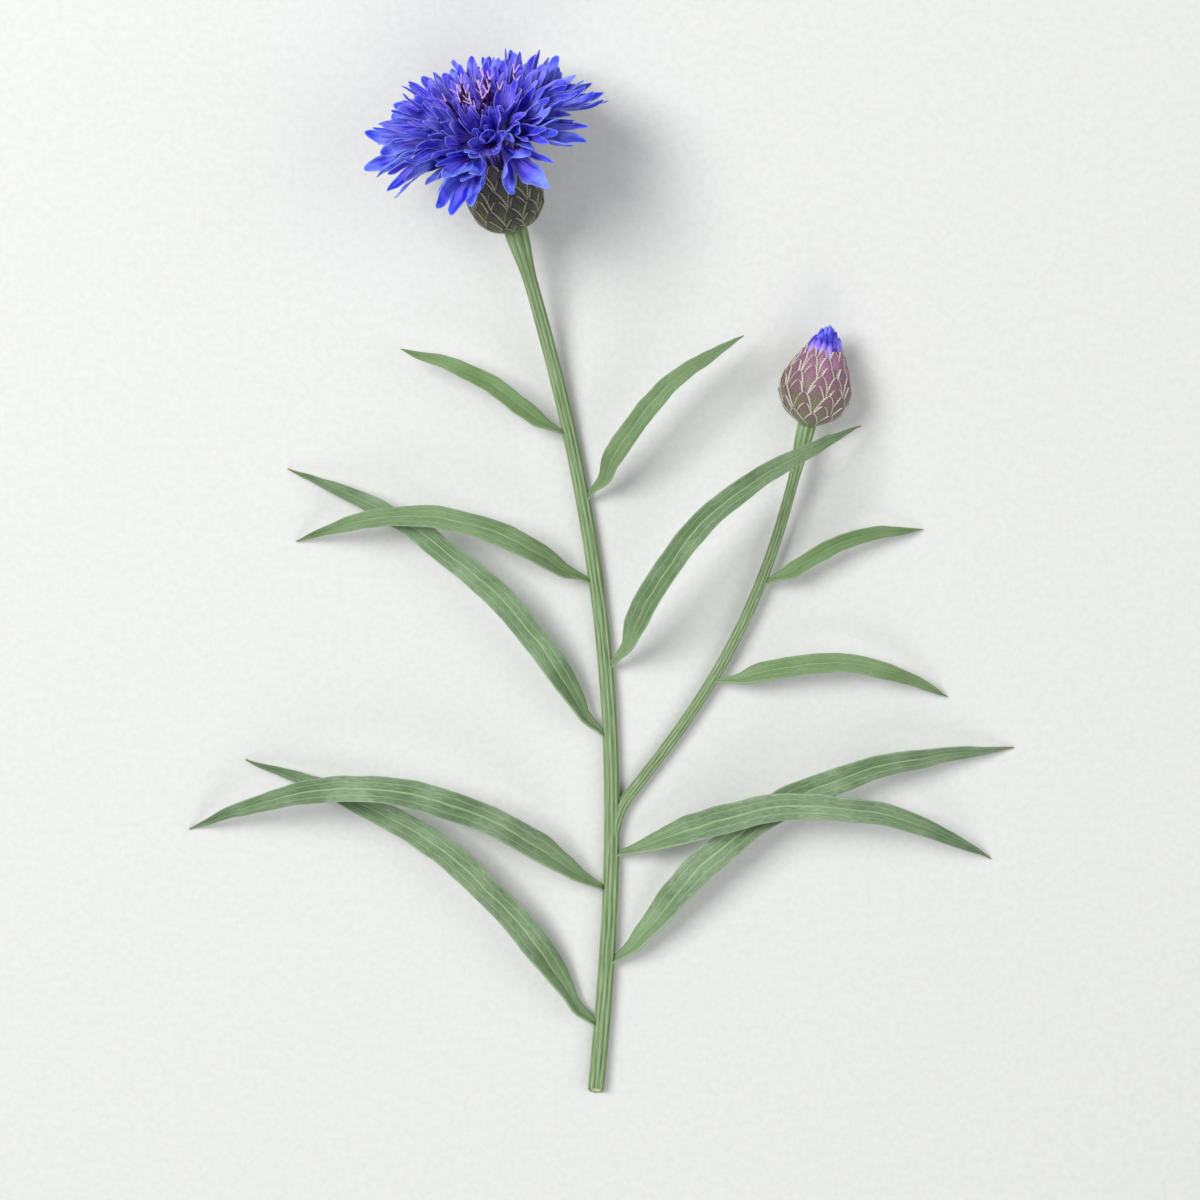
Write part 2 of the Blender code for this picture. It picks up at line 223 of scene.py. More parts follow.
HEAD = end_of("stem", direction(HEAD_LEAN, HEAD_TILT))
STEM = Stalk(stem_line(HEAD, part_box("stem")[0].z / MM + STEM_RADII[2]), STEM_RADII)
SHOOT = Stalk(shoot_line(STEM, end_of("side_shoot", direction(SHOOT_HEADINGS[1], BUD_TILT)).z), SHOOT_RADII)
HEAD_FRAME = head_frame(HEAD, HEAD_TILT, HEAD_LEAN)
BUD_FRAME = head_frame(SHOOT.at(0), BUD_TILT, SHOOT.heading(1.0))


# ---- materials ----


def linear(colour):
    """An sRGB hex colour as linear RGBA."""
    channels = [int(colour[i : i + 2], 16) / 255 for i in (1, 3, 5)]
    return (*[c / 12.92 if c <= 0.04045 else ((c + 0.055) / 1.055) ** 2.4 for c in channels], 1.0)


def add(tree, kind, inputs=None, output=0, stops=(), **settings):
    """Adds a node with its settings and colour stops, sets or links its inputs, and gives back an output."""
    made = tree.nodes.new(kind)
    for key, value in settings.items():
        setattr(made, key, value)
    for key, value in (inputs or {}).items():
        if isinstance(value, bpy.types.NodeSocket):
            tree.links.new(value, made.inputs[key])
        else:
            made.inputs[key].default_value = value
    for i, (place, colour) in enumerate(stops):
        elements = made.color_ramp.elements
        element = elements[i] if i < len(elements) else elements.new(place)
        element.position, element.color = place, colour
    return made.outputs[output]


def stretched_noise(tree, place, scale, detail):
    """Noise with a scale of its own along each axis."""
    place = add(tree, "ShaderNodeMapping", {"Vector": place, "Scale": scale})
    return add(tree, "ShaderNodeTexNoise", {"Vector": place, "Scale": 1, "Detail": detail})


def away_from(tree, value, middle):
    """How far a value is from a middle one."""
    away = add(tree, "ShaderNodeMath", {0: value, 1: middle}, operation="SUBTRACT")
    return add(tree, "ShaderNodeMath", {0: away}, operation="ABSOLUTE")


def layered(tree, colour, *layers):
    """Colours laid one over another.

    Each layer is a value, the span in which it counts, its shares at the span's two ends, and its colour."""
    for value, (low, high), (first, last), over in layers:
        share = {"Value": value, "From Min": low, "From Max": high, "To Min": first, "To Max": last}
        share = add(tree, "ShaderNodeMapRange", share)
        colour = add(tree, "ShaderNodeMix", {0: share, 6: colour, 7: over}, 2, data_type="RGBA")
    return colour


def finish(material, colour, height, depth, **values):
    """Gives a material's shader its colour, its plain values, and bumps as deep as `depth` millimetres."""
    tree = material.node_tree
    shader = tree.nodes["Principled BSDF"]
    tree.links.new(colour, shader.inputs["Base Color"])
    bump = add(tree, "ShaderNodeBump", {"Height": height, "Distance": depth * MM})
    tree.links.new(bump, shader.inputs["Normal"])
    for key, value in values.items():
        shader.inputs[key.replace("_", " ")].default_value = value
    return material


def new_material(name):
    made = bpy.data.materials.new(name)
    made.use_nodes = True
    return made, made.node_tree


def petal_material(name, stops, edge, shadow, violet, streak, edge_share):
    """Petal: thin matte tissue, finely veined along it, with pale rims painted as a highlight along the thin
    edges, and lilac streaks in its throat.
    """
    made, tree = new_material(name)
    along, around, shade, inner, rim = [
        add(tree, "ShaderNodeAttribute", output="Fac", attribute_name=key)
        for key in ("along", "around", "shade", "inner", "edge")
    ]
    # "around" grows by 1 from lobe to lobe, some 4 mm: veins 0.15 mm apart, and streaks 0.7 mm wide. The
    # rows of cells between the veins are too fine to show, and are left out.
    place = add(tree, "ShaderNodeCombineXYZ", {"X": around, "Y": shade, "Z": along})
    veins = stretched_noise(tree, place, (28, 28, 10), 1)
    streaks = stretched_noise(tree, place, (6, 6, 2.1), 2)
    # Clouds of lighter blue about 4 mm across.
    spot = add(tree, "ShaderNodeTexCoord", output="Object")
    cloud = add(tree, "ShaderNodeTexNoise", {"Vector": spot, "Scale": 260, "Detail": 2})
    # The streaks fade out on the way to the tips.
    fading = {"Value": along, "From Min": 0.92, "From Max": 0.5, "To Min": 0.0, "To Max": 0.9}
    pale = {"Value": streaks, "From Min": 0.54, "From Max": 0.42}
    pale = {0: add(tree, "ShaderNodeMapRange", fading), 1: add(tree, "ShaderNodeMapRange", pale)}
    lilac = add(tree, "ShaderNodeMath", pale, operation="MULTIPLY")
    # Florets nearer the middle of the head are more violet, and the painted highlight on their rims more
    # lilac.
    rim_highlight_colour = layered(tree, edge, (inner, (0, 1), (0, 1), streak))
    colour = layered(
        tree,
        add(tree, "ShaderNodeValToRGB", {"Fac": along}, stops=stops),
        (streaks, (0.4, 0.62), (0, 0.65), shadow),
        (veins, (0.45, 0.65), (0, 0.45), shadow),
        (shade, (0, 1), (0, 0.45), shadow),
        (inner, (0, 1), (0, 0.6), violet),
        (lilac, (0, 1), (0, 1), streak),
        (cloud, (0.46, 0.7), (0, 0.5), rim_highlight_colour),
        # The pale rims are a painted highlight, where light would catch the thin lobe edges.
        (rim, (0.35, 1), (0, edge_share), rim_highlight_colour),
    )
    ridges = add(tree, "ShaderNodeMath", {0: veins, 1: streaks}, operation="ADD")
    return finish(
        made, colour, ridges, 0.07, Roughness=0.6, IOR=1.35, Specular_IOR_Level=0.35, Sheen_Weight=0.06,
        Sheen_Roughness=0.4, Sheen_Tint=edge, Subsurface_Weight=0.1, Subsurface_Scale=0.4 * MM,
    )  # fmt: skip


def leaf_material(name, body, pale, dark, vein, fresh):
    """Leaf skin: grey-green under thin cobweb wool, with a pale midrib and two faint side veins."""
    made, tree = new_material(name)
    blade = add(tree, "ShaderNodeTexCoord", output="UV")
    spot = add(tree, "ShaderNodeTexCoord", output="Object")
    young = add(tree, "ShaderNodeAttribute", output="Fac", attribute_name="young")
    along = add(tree, "ShaderNodeSeparateXYZ", {"Vector": blade}, "X")
    across = add(tree, "ShaderNodeSeparateXYZ", {"Vector": blade}, "Y")
    from_midrib = away_from(tree, across, 0.5)
    from_side = away_from(tree, from_midrib, 0.27)
    blotch = add(tree, "ShaderNodeTexNoise", {"Vector": spot, "Scale": 70, "Detail": 2})
    # A blade is about 4.5 mm wide and 70 mm long: veins 0.35 mm apart, and wool combed along it, thicker in
    # some places than in others. Its hairs, 0.02 mm thick, are too fine to show, and are drawn as threads
    # 0.13 mm wide and 1.3 mm long.
    rows = stretched_noise(tree, blade, (6.5, 13, 1), 2)
    threads = stretched_noise(tree, blade, (54, 34, 1), 4)
    patches = add(tree, "ShaderNodeTexNoise", {"Vector": spot, "Scale": 120, "Detail": 3})
    wool = add(tree, "ShaderNodeMath", {0: threads, 1: patches}, operation="MULTIPLY")
    colour = layered(
        tree,
        dark,
        (blotch, (0.25, 0.6), (0.3, 1), body),
        (rows, (0.42, 0.62), (0, 0.45), dark),
        (wool, (0.16, 0.4), (0.1, 0.55), pale),
        (from_side, (0.008, 0.03), (0.4, 0), vein),
        (from_midrib, (0.015, 0.06), (0.85, 0), vein),
        (from_midrib, (0.44, 0.5), (0, 0.6), pale),
        (young, (0, 1), (0, 0.6), fresh),
        (along, (0, 0.22), (0.35, 0), vein),
        (along, (0.965, 0.995), (0, 0.7), linear("#8d7c4e")),
    )
    ridges = add(tree, "ShaderNodeMath", {0: rows, 1: threads}, operation="ADD")
    return finish(
        made, colour, ridges, 0.09, Roughness=0.6, IOR=1.4, Sheen_Weight=0.2, Sheen_Roughness=0.5,
        Sheen_Tint=pale,
    )  # fmt: skip


def stalk_material(name, body, pale, dark, ribs):
    """Stalk skin: grey-green, pale and woolly on its ribs, darker green in the grooves between them."""
    made, tree = new_material(name)
    skin = add(tree, "ShaderNodeTexCoord", output="UV")
    around = add(tree, "ShaderNodeSeparateXYZ", {"Vector": skin}, "Y")
    wave = add(tree, "ShaderNodeMath", {0: around, 1: 2 * math.pi * ribs}, operation="MULTIPLY")
    wave = add(tree, "ShaderNodeMath", {0: wave}, operation="COSINE")
    # Wool lies along the stalk. Its hairs, 0.02 mm thick, are too fine to show, and are drawn as threads
    # 0.15 mm wide and some 5 mm long.
    threads = stretched_noise(tree, skin, (26, 52, 1), 4)
    broad = stretched_noise(tree, skin, (14, 9, 1), 2)
    colour = layered(
        tree,
        dark,
        (wave, (-1, 0.4), (0, 1), body),
        (broad, (0.35, 0.65), (0, 0.4), dark),
        (threads, (0.42, 0.66), (0, 0.6), pale),
    )
    return finish(
        made, colour, threads, 0.1, Roughness=0.7, IOR=1.4, Sheen_Weight=0.25, Sheen_Roughness=0.5,
        Sheen_Tint=pale,
    )  # fmt: skip


def bract_material(name, heights, streak, rim, fringe):
    """Bract: a leathery scale, streaked along, darker towards its rim, with a pale papery fringe."""
    made, tree = new_material(name)
    scale = add(tree, "ShaderNodeTexCoord", output="UV")
    across = add(tree, "ShaderNodeSeparateXYZ", {"Vector": scale}, "X")
    along = add(tree, "ShaderNodeSeparateXYZ", {"Vector": scale}, "Y")
    cup = add(tree, "ShaderNodeAttribute", output="Fac", attribute_name="cup")
    from_middle = away_from(tree, across, 0.5)
    # Streaks 0.2 mm wide, in another place on each height of the cup.
    place = add(tree, "ShaderNodeCombineXYZ", {"X": across, "Y": along, "Z": cup})
    streaks = stretched_noise(tree, place, (20, 4, 20), 2)
    colour = layered(
        tree,
        add(tree, "ShaderNodeValToRGB", {"Fac": cup}, stops=heights),
        (streaks, (0.42, 0.62), (0, 0.7), streak),
        (along, (0.55, 0.95), (0, 0.7), rim),
        (from_middle, (0.2, 0.32), (0, 0.75), rim),
        (from_middle, (0.325, 0.36), (0, 1), fringe),
    )
    return finish(
        made, colour, streaks, 0.08, Roughness=0.5, IOR=1.4, Sheen_Weight=0.08, Sheen_Roughness=0.5,
        Sheen_Tint=fringe,
    )  # fmt: skip


def tissue_material(name, body, grain_colour, grain, roughness):
    """Something soft with a fine grain: pith, an anther, or paper. `grain` is in grains to a metre, and
    the grains are coarser than real cells or fibres, which are too fine to show."""
    made, tree = new_material(name)
    spot = add(tree, "ShaderNodeTexCoord", output="Object")
    specks = add(tree, "ShaderNodeTexNoise", {"Vector": spot, "Scale": grain, "Detail": 2})
    colour = layered(tree, body, (specks, (0.4, 0.65), (0, 1), grain_colour))
    return finish(made, colour, specks, 0.04, Roughness=roughness, IOR=1.4)


# ---- modelling helpers ----


def deselect():
    if bpy.context.mode != "OBJECT":
        bpy.ops.object.mode_set(mode="OBJECT")
    bpy.ops.object.select_all(action="DESELECT")


def focus(piece):
    deselect()
    piece.select_set(True)
    bpy.context.view_layer.objects.active = piece


def named(name):
    """The object that an operator has just added, under a name."""
    piece = bpy.context.object
    piece.name = piece.data.name = name
    return piece


def apply_modifier(piece, kind, **settings):
    """Adds a modifier, and applies it at once."""
    focus(piece)
    made = piece.modifiers.new(kind.lower(), kind)
    for key, value in settings.items():
        setattr(made, key, value)
    bpy.ops.object.modifier_apply(modifier=made.name)


def joined(name, pieces):
    """Several pieces as one."""
    focus(pieces[0])
    for piece in pieces:
        piece.select_set(True)
    if len(pieces) > 1:
        bpy.ops.object.join()
    return named(name)


def copied(name, piece):
    made = piece.copy()
    made.data = piece.data.copy()
    made.name = made.data.name = name
    bpy.context.scene.collection.objects.link(made)
    return made


def placed(piece, matrix):
    """Moves a piece's mesh by a matrix, in metres."""
    piece.data.transform(matrix)
    return piece


def close_seams(piece):
    """Merges the points that lie on each other, and turns every face outwards."""
    focus(piece)
    bpy.ops.object.mode_set(mode="EDIT")
    bpy.ops.mesh.select_all(action="SELECT")
    bpy.ops.mesh.remove_doubles(threshold=0.004 * MM)
    bpy.ops.mesh.normals_make_consistent(inside=False)
    bpy.ops.object.mode_set(mode="OBJECT")


def drawn_line(name, spots, radii=None, tilts=None, closed=False):
    """A curve drawn straight from spot to spot, each with its radius and tilt."""
    deselect()
    bpy.ops.curve.primitive_nurbs_path_add()
    line = named(name)
    line.data.splines.clear()
    spline = line.data.splines.new("POLY")
    spline.points.add(len(spots) - 1)
    spline.use_cyclic_u = closed
    for i, point in enumerate(spline.points):
        point.co = (*spots[i], 1)
        point.radius = radii[i] if radii else 1.0
        point.tilt = tilts[i] if tilts else 0.0
    return line


def swept(name, profile, spots, radii, tilts=None):
    """A profile swept along a line, as a mesh. Its UV map runs along in X, and over the profile in Y."""
    line = drawn_line(name, [spot * MM for spot in spots], radii, tilts)
    curve = line.data
    curve.dimensions, curve.twist_mode = "3D", "Z_UP"
    curve.bevel_mode, curve.bevel_object = "OBJECT", profile
    curve.use_fill_caps = profile.data.splines[0].use_cyclic_u
    focus(line)
    bpy.ops.object.convert(target="MESH")
    return named(name)


class Ruffle:
    """A smooth random field that pushes thin pieces a little out of line, each in its own place."""

    def __init__(self, size, strength):
        self.texture = bpy.data.textures.new("ruffle", "CLOUDS")
        self.texture.noise_scale = size * MM
        self.texture.cloud_type = "COLOR"
        self.strength = strength * MM

    def push(self, piece):
        apply_modifier(
            piece, "DISPLACE", texture=self.texture, direction="RGB_TO_XYZ", strength=self.strength,
            mid_level=0.5,
        )  # fmt: skip


def mark(piece, **values):
    """Keeps values for the materials on the points: a number for the whole piece, or a list of them."""
    for name, value in values.items():
        numbers = value if isinstance(value, list) else [value] * len(piece.data.vertices)
        piece.data.attributes.new(name, "FLOAT", "POINT").data.foreach_set("value", numbers)


def extrude(move, scale, centre):
    """Extrudes what is selected, moves it, and scales it about a centre."""
    bpy.ops.mesh.extrude_region_move(TRANSFORM_OT_translate={"value": move})
    bpy.ops.transform.resize(value=scale, center_override=centre)


def select_points(piece, numbers):
    """Selects points of the piece that is being edited by their numbers, with the edges between them."""
    bpy.ops.mesh.select_all(action="DESELECT")
    work = bmesh.from_edit_mesh(piece.data)
    work.verts.ensure_lookup_table()
    for number in numbers:
        work.verts[number].select_set(True)
    work.select_flush(True)
    bmesh.update_edit_mesh(piece.data)


def keep_above_surface(piece, height=0.0):
    """Presses what would reach below a height over the surface flat on to it."""
    for vertex in piece.data.vertices:
        vertex.co.z = max(vertex.co.z, height)


def settle(piece, slot, *nodes):
    """Puts a finished piece on the body, in place of its solids."""
    keep_above_surface(piece)
    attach(piece, "root")
    if nodes:
        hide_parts(*nodes)


# ---- stem and side shoot ----

# In millimetres: how far a stalk runs on inside its head, how much of the stem the cut takes off, how far the
# shoot runs on straight below the fork, and where on the stem it has grown in.
HIDDEN_END = 1.5
CUT_OFF = 2.0
SHOOT_STRAIGHT = 3.5
SHOOT_GROWN_IN = 9.0
RING_POINTS = 8  # to a rib
CUT_SLANT = 0.7  # rise of the cut for each millimetre along the stem
PITH_SHARE = 0.78  # of the width of the cut
PITH_DEPTH = 0.1  # millimetres by which the pith is set in
TAIL_RINGS = 8
TAIL_SWELL = 1.15  # of the shoot's radius, where it has grown in


def ribbed_ring(ribs, depth):
    """The cross section of a stalk, 1 mm in radius: a ring with a groove between each two ribs."""
    ring = []
    for i in range(RING_POINTS * ribs):
        angle = 2 * math.pi * i / (RING_POINTS * ribs) - math.pi / 2
        reach = (1 - depth + depth * math.cos(ribs * angle)) * MM
        ring.append((reach * math.cos(angle), reach * math.sin(angle), 0))
    return drawn_line("ribbed_ring", ring, closed=True)


def stalk_rings(stalk, tail):
    """Centres and radii of a stalk, from inside the head, along its line, and on through its tail."""
    backs = range(int(stalk.length) + 1)
    centres = [stalk.at(0) + stalk.aim(1.0) * HIDDEN_END] + [stalk.at(back) for back in backs]
    radii = [0.5 * stalk.radius(0)] + [stalk.radius(back) for back in backs]
    return centres + [centre for centre, _ in tail], radii + [radius for _, radius in tail]


def stem_tail():
    """A little more of the stem, for the slanting cut to take off."""
    foot, aim = STEM.at(STEM.length), STEM.aim(STEM.length - 1)
    return [(foot - aim * CUT_OFF, STEM_RADII[2])]


def shoot_tail():
    """The last rings of the side shoot, which curve in to the stem below it and grow out of it."""
    foot, aim = SHOOT.at(SHOOT.length), SHOOT.aim(SHOOT.length - 1)
    goal, middle = STEM.at(SHOOT_BACK + SHOOT_GROWN_IN), foot - aim * SHOOT_STRAIGHT
    tail = []
    for i in range(TAIL_RINGS):
        share = (i + 1) / TAIL_RINGS
        spot = foot.lerp(middle, share).lerp(middle.lerp(goal, share), share)
        tail.append((spot, SHOOT.radius(SHOOT.length) * lerp(1.0, TAIL_SWELL, share)))
    return tail


def cut_foot(piece):
    """Cuts the foot of the stem aslant, and sets the pale pith a little way in, inside the skin."""
    foot, aim = STEM.at(STEM.length), STEM.aim(STEM.length - 1)
    focus(piece)
    bpy.ops.object.mode_set(mode="EDIT")
    bpy.ops.mesh.select_all(action="SELECT")
    slant = (aim - UP * CUT_SLANT).normalized()
    at = (foot - UP * STEM_RADII[2]) * MM
    bpy.ops.mesh.bisect(plane_co=at, plane_no=slant, clear_inner=True, use_fill=True, threshold=1e-7)
    # The filled cut is all that stays selected, and each extrusion stays selected in its turn.
    work = bmesh.from_edit_mesh(piece.data)
    rim = [vertex.co for vertex in work.verts if vertex.select]
    middle = sum(rim, Vector()) / len(rim)
    for share, inward in ((PITH_SHARE, 0.0), (0.96, PITH_DEPTH * MM)):
        extrude(slant * inward, (share, share, share), middle)
    piece.active_material_index = 1
    bpy.ops.object.material_slot_assign()
    bpy.ops.object.mode_set(mode="OBJECT")


class CORNFLOWER_OT_stalks(bpy.types.Operator):
    """Adds the ribbed stem, cut aslant at its foot, and the side shoot"""

    bl_idname = "cornflower.stalks"
    bl_label = "Stem and side shoot"

    def execute(self, context):
        sizes, colours = context.scene.cornflower_sizes, context.scene.cornflower_colours
        skin = stalk_material(
            "woolly ribbed stem skin", colours.stem, colours.wool, colours.stem_groove, sizes.stem_ribs
        )
        pith = tissue_material("pale cut pith", linear("#d3d9ac"), linear("#a5b27c"), 2600.0, 0.6)
        profile = ribbed_ring(sizes.stem_ribs, sizes.rib_depth)
        for name, stalk, tail in (("stem", STEM, stem_tail()), ("side_shoot", SHOOT, shoot_tail())):
            piece = swept(f"{name}_skin", profile, *stalk_rings(stalk, tail))
            piece.data.materials.append(skin)
            piece.data.materials.append(pith)
            close_seams(piece)
            bpy.ops.object.shade_smooth()
            if stalk is STEM:
                cut_foot(piece)
            settle(piece, "woolly_stem", name)
        bpy.data.objects.remove(profile)
        return {"FINISHED"}


# ---- leaves ----

LEAF_END = 0.997  # share of the length where the point is cut off, too thin to see
LEAF_FOOT_RUN = 5.0  # millimetres over which the foot narrows and runs in to the stalk
LEAF_FOOT_WIDTH = 0.35  # share of its width that a blade keeps at the very foot
LEAF_FOOT_DEPTH = 0.35  # share of the stalk's radius, from its middle, where the foot ends
LEAF_SWAY = (0.16, 1.3)  # radians by which a blade rolls to and fro, and how often
YOUNG_WITHIN = 110.0  # millimetres from the head: the nearer, the younger and yellower a leaf is
LEAF_SEED = 7
CHANNEL_POINTS = 17
# In shares of half the width: where the rims begin to flare, and by how much, and the keel's half width and
# depth.
RIM_START, RIM_FLARE = 0.75, 0.1
KEEL_HALF_WIDTH, KEEL_DEPTH = 0.12, 0.06


def leaf_width(share):
    """Share of a leaf's full width: a narrowed foot, long straight sides and a pointed tip."""
    tapered = (1 - share ** LEAF_TAPER[0]) ** LEAF_TAPER[1]
    return lerp(LEAF_FOOT[0], 1.0, smooth(share / LEAF_FOOT[1])) * tapered


def channel_line():
    """The cross section of a blade, 1 mm in half width: a channel with a keeled midrib and flared rims."""
    spots = []
    for i in range(CHANNEL_POINTS):
        across = 2 * i / (CHANNEL_POINTS - 1) - 1
        edge = abs(across)
        flare = RIM_FLARE * max(0.0, edge - RIM_START) / (1 - RIM_START)
        keel = KEEL_DEPTH * max(0.0, 1 - edge / KEEL_HALF_WIDTH)
        rise = LEAF_CHANNEL * edge**1.2 - (flare + keel)
        spots.append((across * MM, rise * MM, 0))
    return drawn_line("channel", spots)


def leaf_piece(name, profile, stalk, chance, back, start, end, length, width, arch, tip_height):
    """A channelled leaf on the line of its solid, with a foot that grows out of the stalk."""
    side = math.copysign(1, start)
    lean = stalk.heading(back)
    inner_edge = width / 2 * leaf_width(0) * math.cos(LEAF_ROLL[0]) * math.cos(math.radians(start))
    beside = Vector((math.cos(lean), -math.sin(lean), 0)) * side
    out = stalk.radius(back) + GAP + LEAF_WALL / 2 + inner_edge
    foot = stalk.at(back) + beside * out
    sway = chance.uniform(0, 2 * math.pi)
    line, radii, tilts = [foot], [], []
    for i in range(LEAF_STEPS + 1):
        share = i / LEAF_STEPS
        aim = lean + math.radians(lerp(start, end, smooth(share)))
        line.append(line[-1] + direction(aim) * (length / LEAF_STEPS))
        line[i].z = lerp(foot.z, tip_height, share) + arch * 4 * share * (1 - share)
        grown = smooth(share * length / LEAF_FOOT_RUN)
        radii.append(width / 2 * leaf_width(min(share, LEAF_END)) * lerp(LEAF_FOOT_WIDTH, 1.0, grown))
        roll = lerp(LEAF_ROLL[0], LEAF_ROLL[1], smooth(share / LEAF_ROLL[2]))
        waves = math.sin(2 * math.pi * LEAF_SWAY[1] * share + sway)
        roll += LEAF_SWAY[0] * waves * smooth((share - 0.2) / 0.3)
        tilts.append(-roll * side)
    inwards = out - LEAF_FOOT_DEPTH * stalk.radius(back)
    for i in range(LEAF_STEPS):
        grown = smooth(i / LEAF_STEPS * length / LEAF_FOOT_RUN)
        line[i] = line[i] - beside * (inwards * (1 - grown))
    piece = swept(name, profile, line[:-1], radii, tilts)
    bpy.ops.object.shade_smooth()
    return piece


class CORNFLOWER_OT_leaves(bpy.types.Operator):
    """Adds the narrow channelled leaves of the stem and of the side shoot"""

    bl_idname = "cornflower.leaves"
    bl_label = "Leaves"

    def execute(self, context):
        sizes, colours = context.scene.cornflower_sizes, context.scene.cornflower_colours
        upper = leaf_material(
            "woolly leaf upper side", colours.leaf, colours.wool, colours.leaf_dark, colours.leaf_vein,
            colours.leaf_fresh,
        )  # fmt: skip
        under = leaf_material(
            "woolly leaf underside", linear("#91a388"), colours.wool, colours.leaf, colours.wool,
            colours.leaf_fresh,
        )  # fmt: skip
        chance = random.Random(LEAF_SEED)
        profile = channel_line()
        flutter = Ruffle(9.0, 1.1)
        for stalk, leaves in ((STEM, STEM_LEAVES), (SHOOT, SHOOT_LEAVES)):
            for name, *shape in leaves:
                piece = leaf_piece(f"{name}_blade", profile, stalk, chance, *shape)
                flutter.push(piece)
                keep_above_surface(piece, sizes.leaf_thickness / 2)
                piece.data.materials.append(upper)
                piece.data.materials.append(under)
                back = shape[0]
                mark(piece, young=smooth(1 - back / YOUNG_WITHIN) * chance.uniform(0.6, 1.0))
                apply_modifier(
                    piece, "SOLIDIFY", thickness=sizes.leaf_thickness, offset=0, material_offset=1
                )
                settle(piece, "woolly_leaf", name)
        bpy.data.objects.remove(profile)
        return {"FINISHED"}


# ---- cup and bud: overlapping bracts ----

BRACT_ROWS = 28  # of faces along a bract, two to each tooth of its fringe
PAIR_TURN = 0.9  # radians from one pair of rows of bracts to the next
# In millimetres: how deep a bract lies under the outline at its foot and at its tip, how much one of its
# sides stands over its neighbour, and how much both sides curve in.
BRACT_FOOT_DEPTH, BRACT_TIP_DEPTH = 0.69, 0.14
BRACT_TILT, BRACT_CURL = 0.07, 0.1
CUP_SEED, BUD_SEED = 3, 11


def bract_shape():
    """A flat bract, modelled once: X is its half width from -1 to 1, and Y is along it from 0 to 1."""
    deselect()
    bpy.ops.mesh.primitive_grid_add(
        x_subdivisions=6, y_subdivisions=BRACT_ROWS, size=1, location=(0, 0.5, 0)
    )
    shape = named("bract_shape")
    bpy.ops.object.transform_apply(location=True)
    bpy.ops.object.shade_smooth()
    # It is widest in its middle, and rounds off to a blunt tip. The outermost columns lie on the rim for now.
    for vertex in shape.data.vertices:
        along = min(1.0, max(0.0, vertex.co.y))
        body = lerp(0.8, 1.0, smooth(along / 0.4)) * (1 - along**2.4) ** 0.7 + 0.02
        vertex.co.x = math.copysign(body * min(1.0, abs(vertex.co.x) * 3), vertex.co.x)
    return shape


def wrapped_bract(shape, outline, matrix, angle, low, high, width, chance):
    """A copy of the flat bract, laid on the outline of a cup, with its rim cut into fine teeth."""
    sway = chance.uniform(-0.08, 0.08)
    lift = chance.uniform(-0.04, 0.12)
    piece = copied("bract", shape)
    mesh = piece.data
    across = [0.0] * len(mesh.vertices)
    for loop in mesh.loops:
        across[loop.vertex_index] = 2 * mesh.uv_layers[0].data[loop.index].uv.x - 1
    heights = []
    for vertex, from_middle in zip(mesh.vertices, across):
        along = min(1.0, max(0.0, vertex.co.y))
        height = lerp(low, high, along)
        # The outermost columns are the fringe: a tooth on every second row.
        tooth = chance.uniform(0.3, 0.46) if round(along * BRACT_ROWS) % 2 else 0.15
        fringe = tooth * max(0.0, 3 * abs(from_middle) - 2)
        half = width / 2 * vertex.co.x + math.copysign(fringe, from_middle)
        # It lies close on the cup at its foot, and its tip may stand off a little.
        radius = outline_radius(outline, height) - lerp(BRACT_FOOT_DEPTH, BRACT_TIP_DEPTH, along)
        radius += lift * along**3 + BRACT_TILT * from_middle - BRACT_CURL * from_middle**2
        around = angle + sway * along + half / max(1.5, radius)
        vertex.co = Vector((radius * math.cos(around), radius * math.sin(around), height)) * MM
        heights.append(min(1.0, height / outline[-1][0]))
    mark(piece, cup=heights)
    return placed(piece, matrix)


def bract_rows(prefix, outline, matrix, rows, count, material, wall, chance):
    """All bracts of a cup, from the lowest row up, two rows of them for each row of the solids.

    A row is the heights of its bracts' feet and tips, and their width."""
    shape = bract_shape()
    for i in range(len(rows) // 2):
        bracts = []
        for j, (low, high, width) in enumerate(rows[2 * i : 2 * i + 2]):
            for k in range(count):
                angle = 2 * math.pi * (k + 0.5 * j) / count + PAIR_TURN * i + chance.uniform(-0.05, 0.05)
                bracts.append(wrapped_bract(shape, outline, matrix, angle, low, high, width, chance))
        piece = joined(f"{prefix}_bracts_{i + 1}", bracts)
        piece.data.materials.append(material)
        apply_modifier(piece, "SOLIDIFY", thickness=wall, offset=-1)
        settle(piece, "bract", f"{prefix}_bract_row_{i + 1}")
    bpy.data.objects.remove(shape)


def dress_core(node):
    """Gives a carried-over core, seen only between the bracts, the skin of the green flesh under them."""
    name = f"green flesh of the {node.replace('_', ' ')}"
    flesh = tissue_material(name, linear("#5b6744"), linear("#3c4630"), 700.0, 0.7)
    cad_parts[node].data.materials.clear()
    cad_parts[node].data.materials.append(flesh)


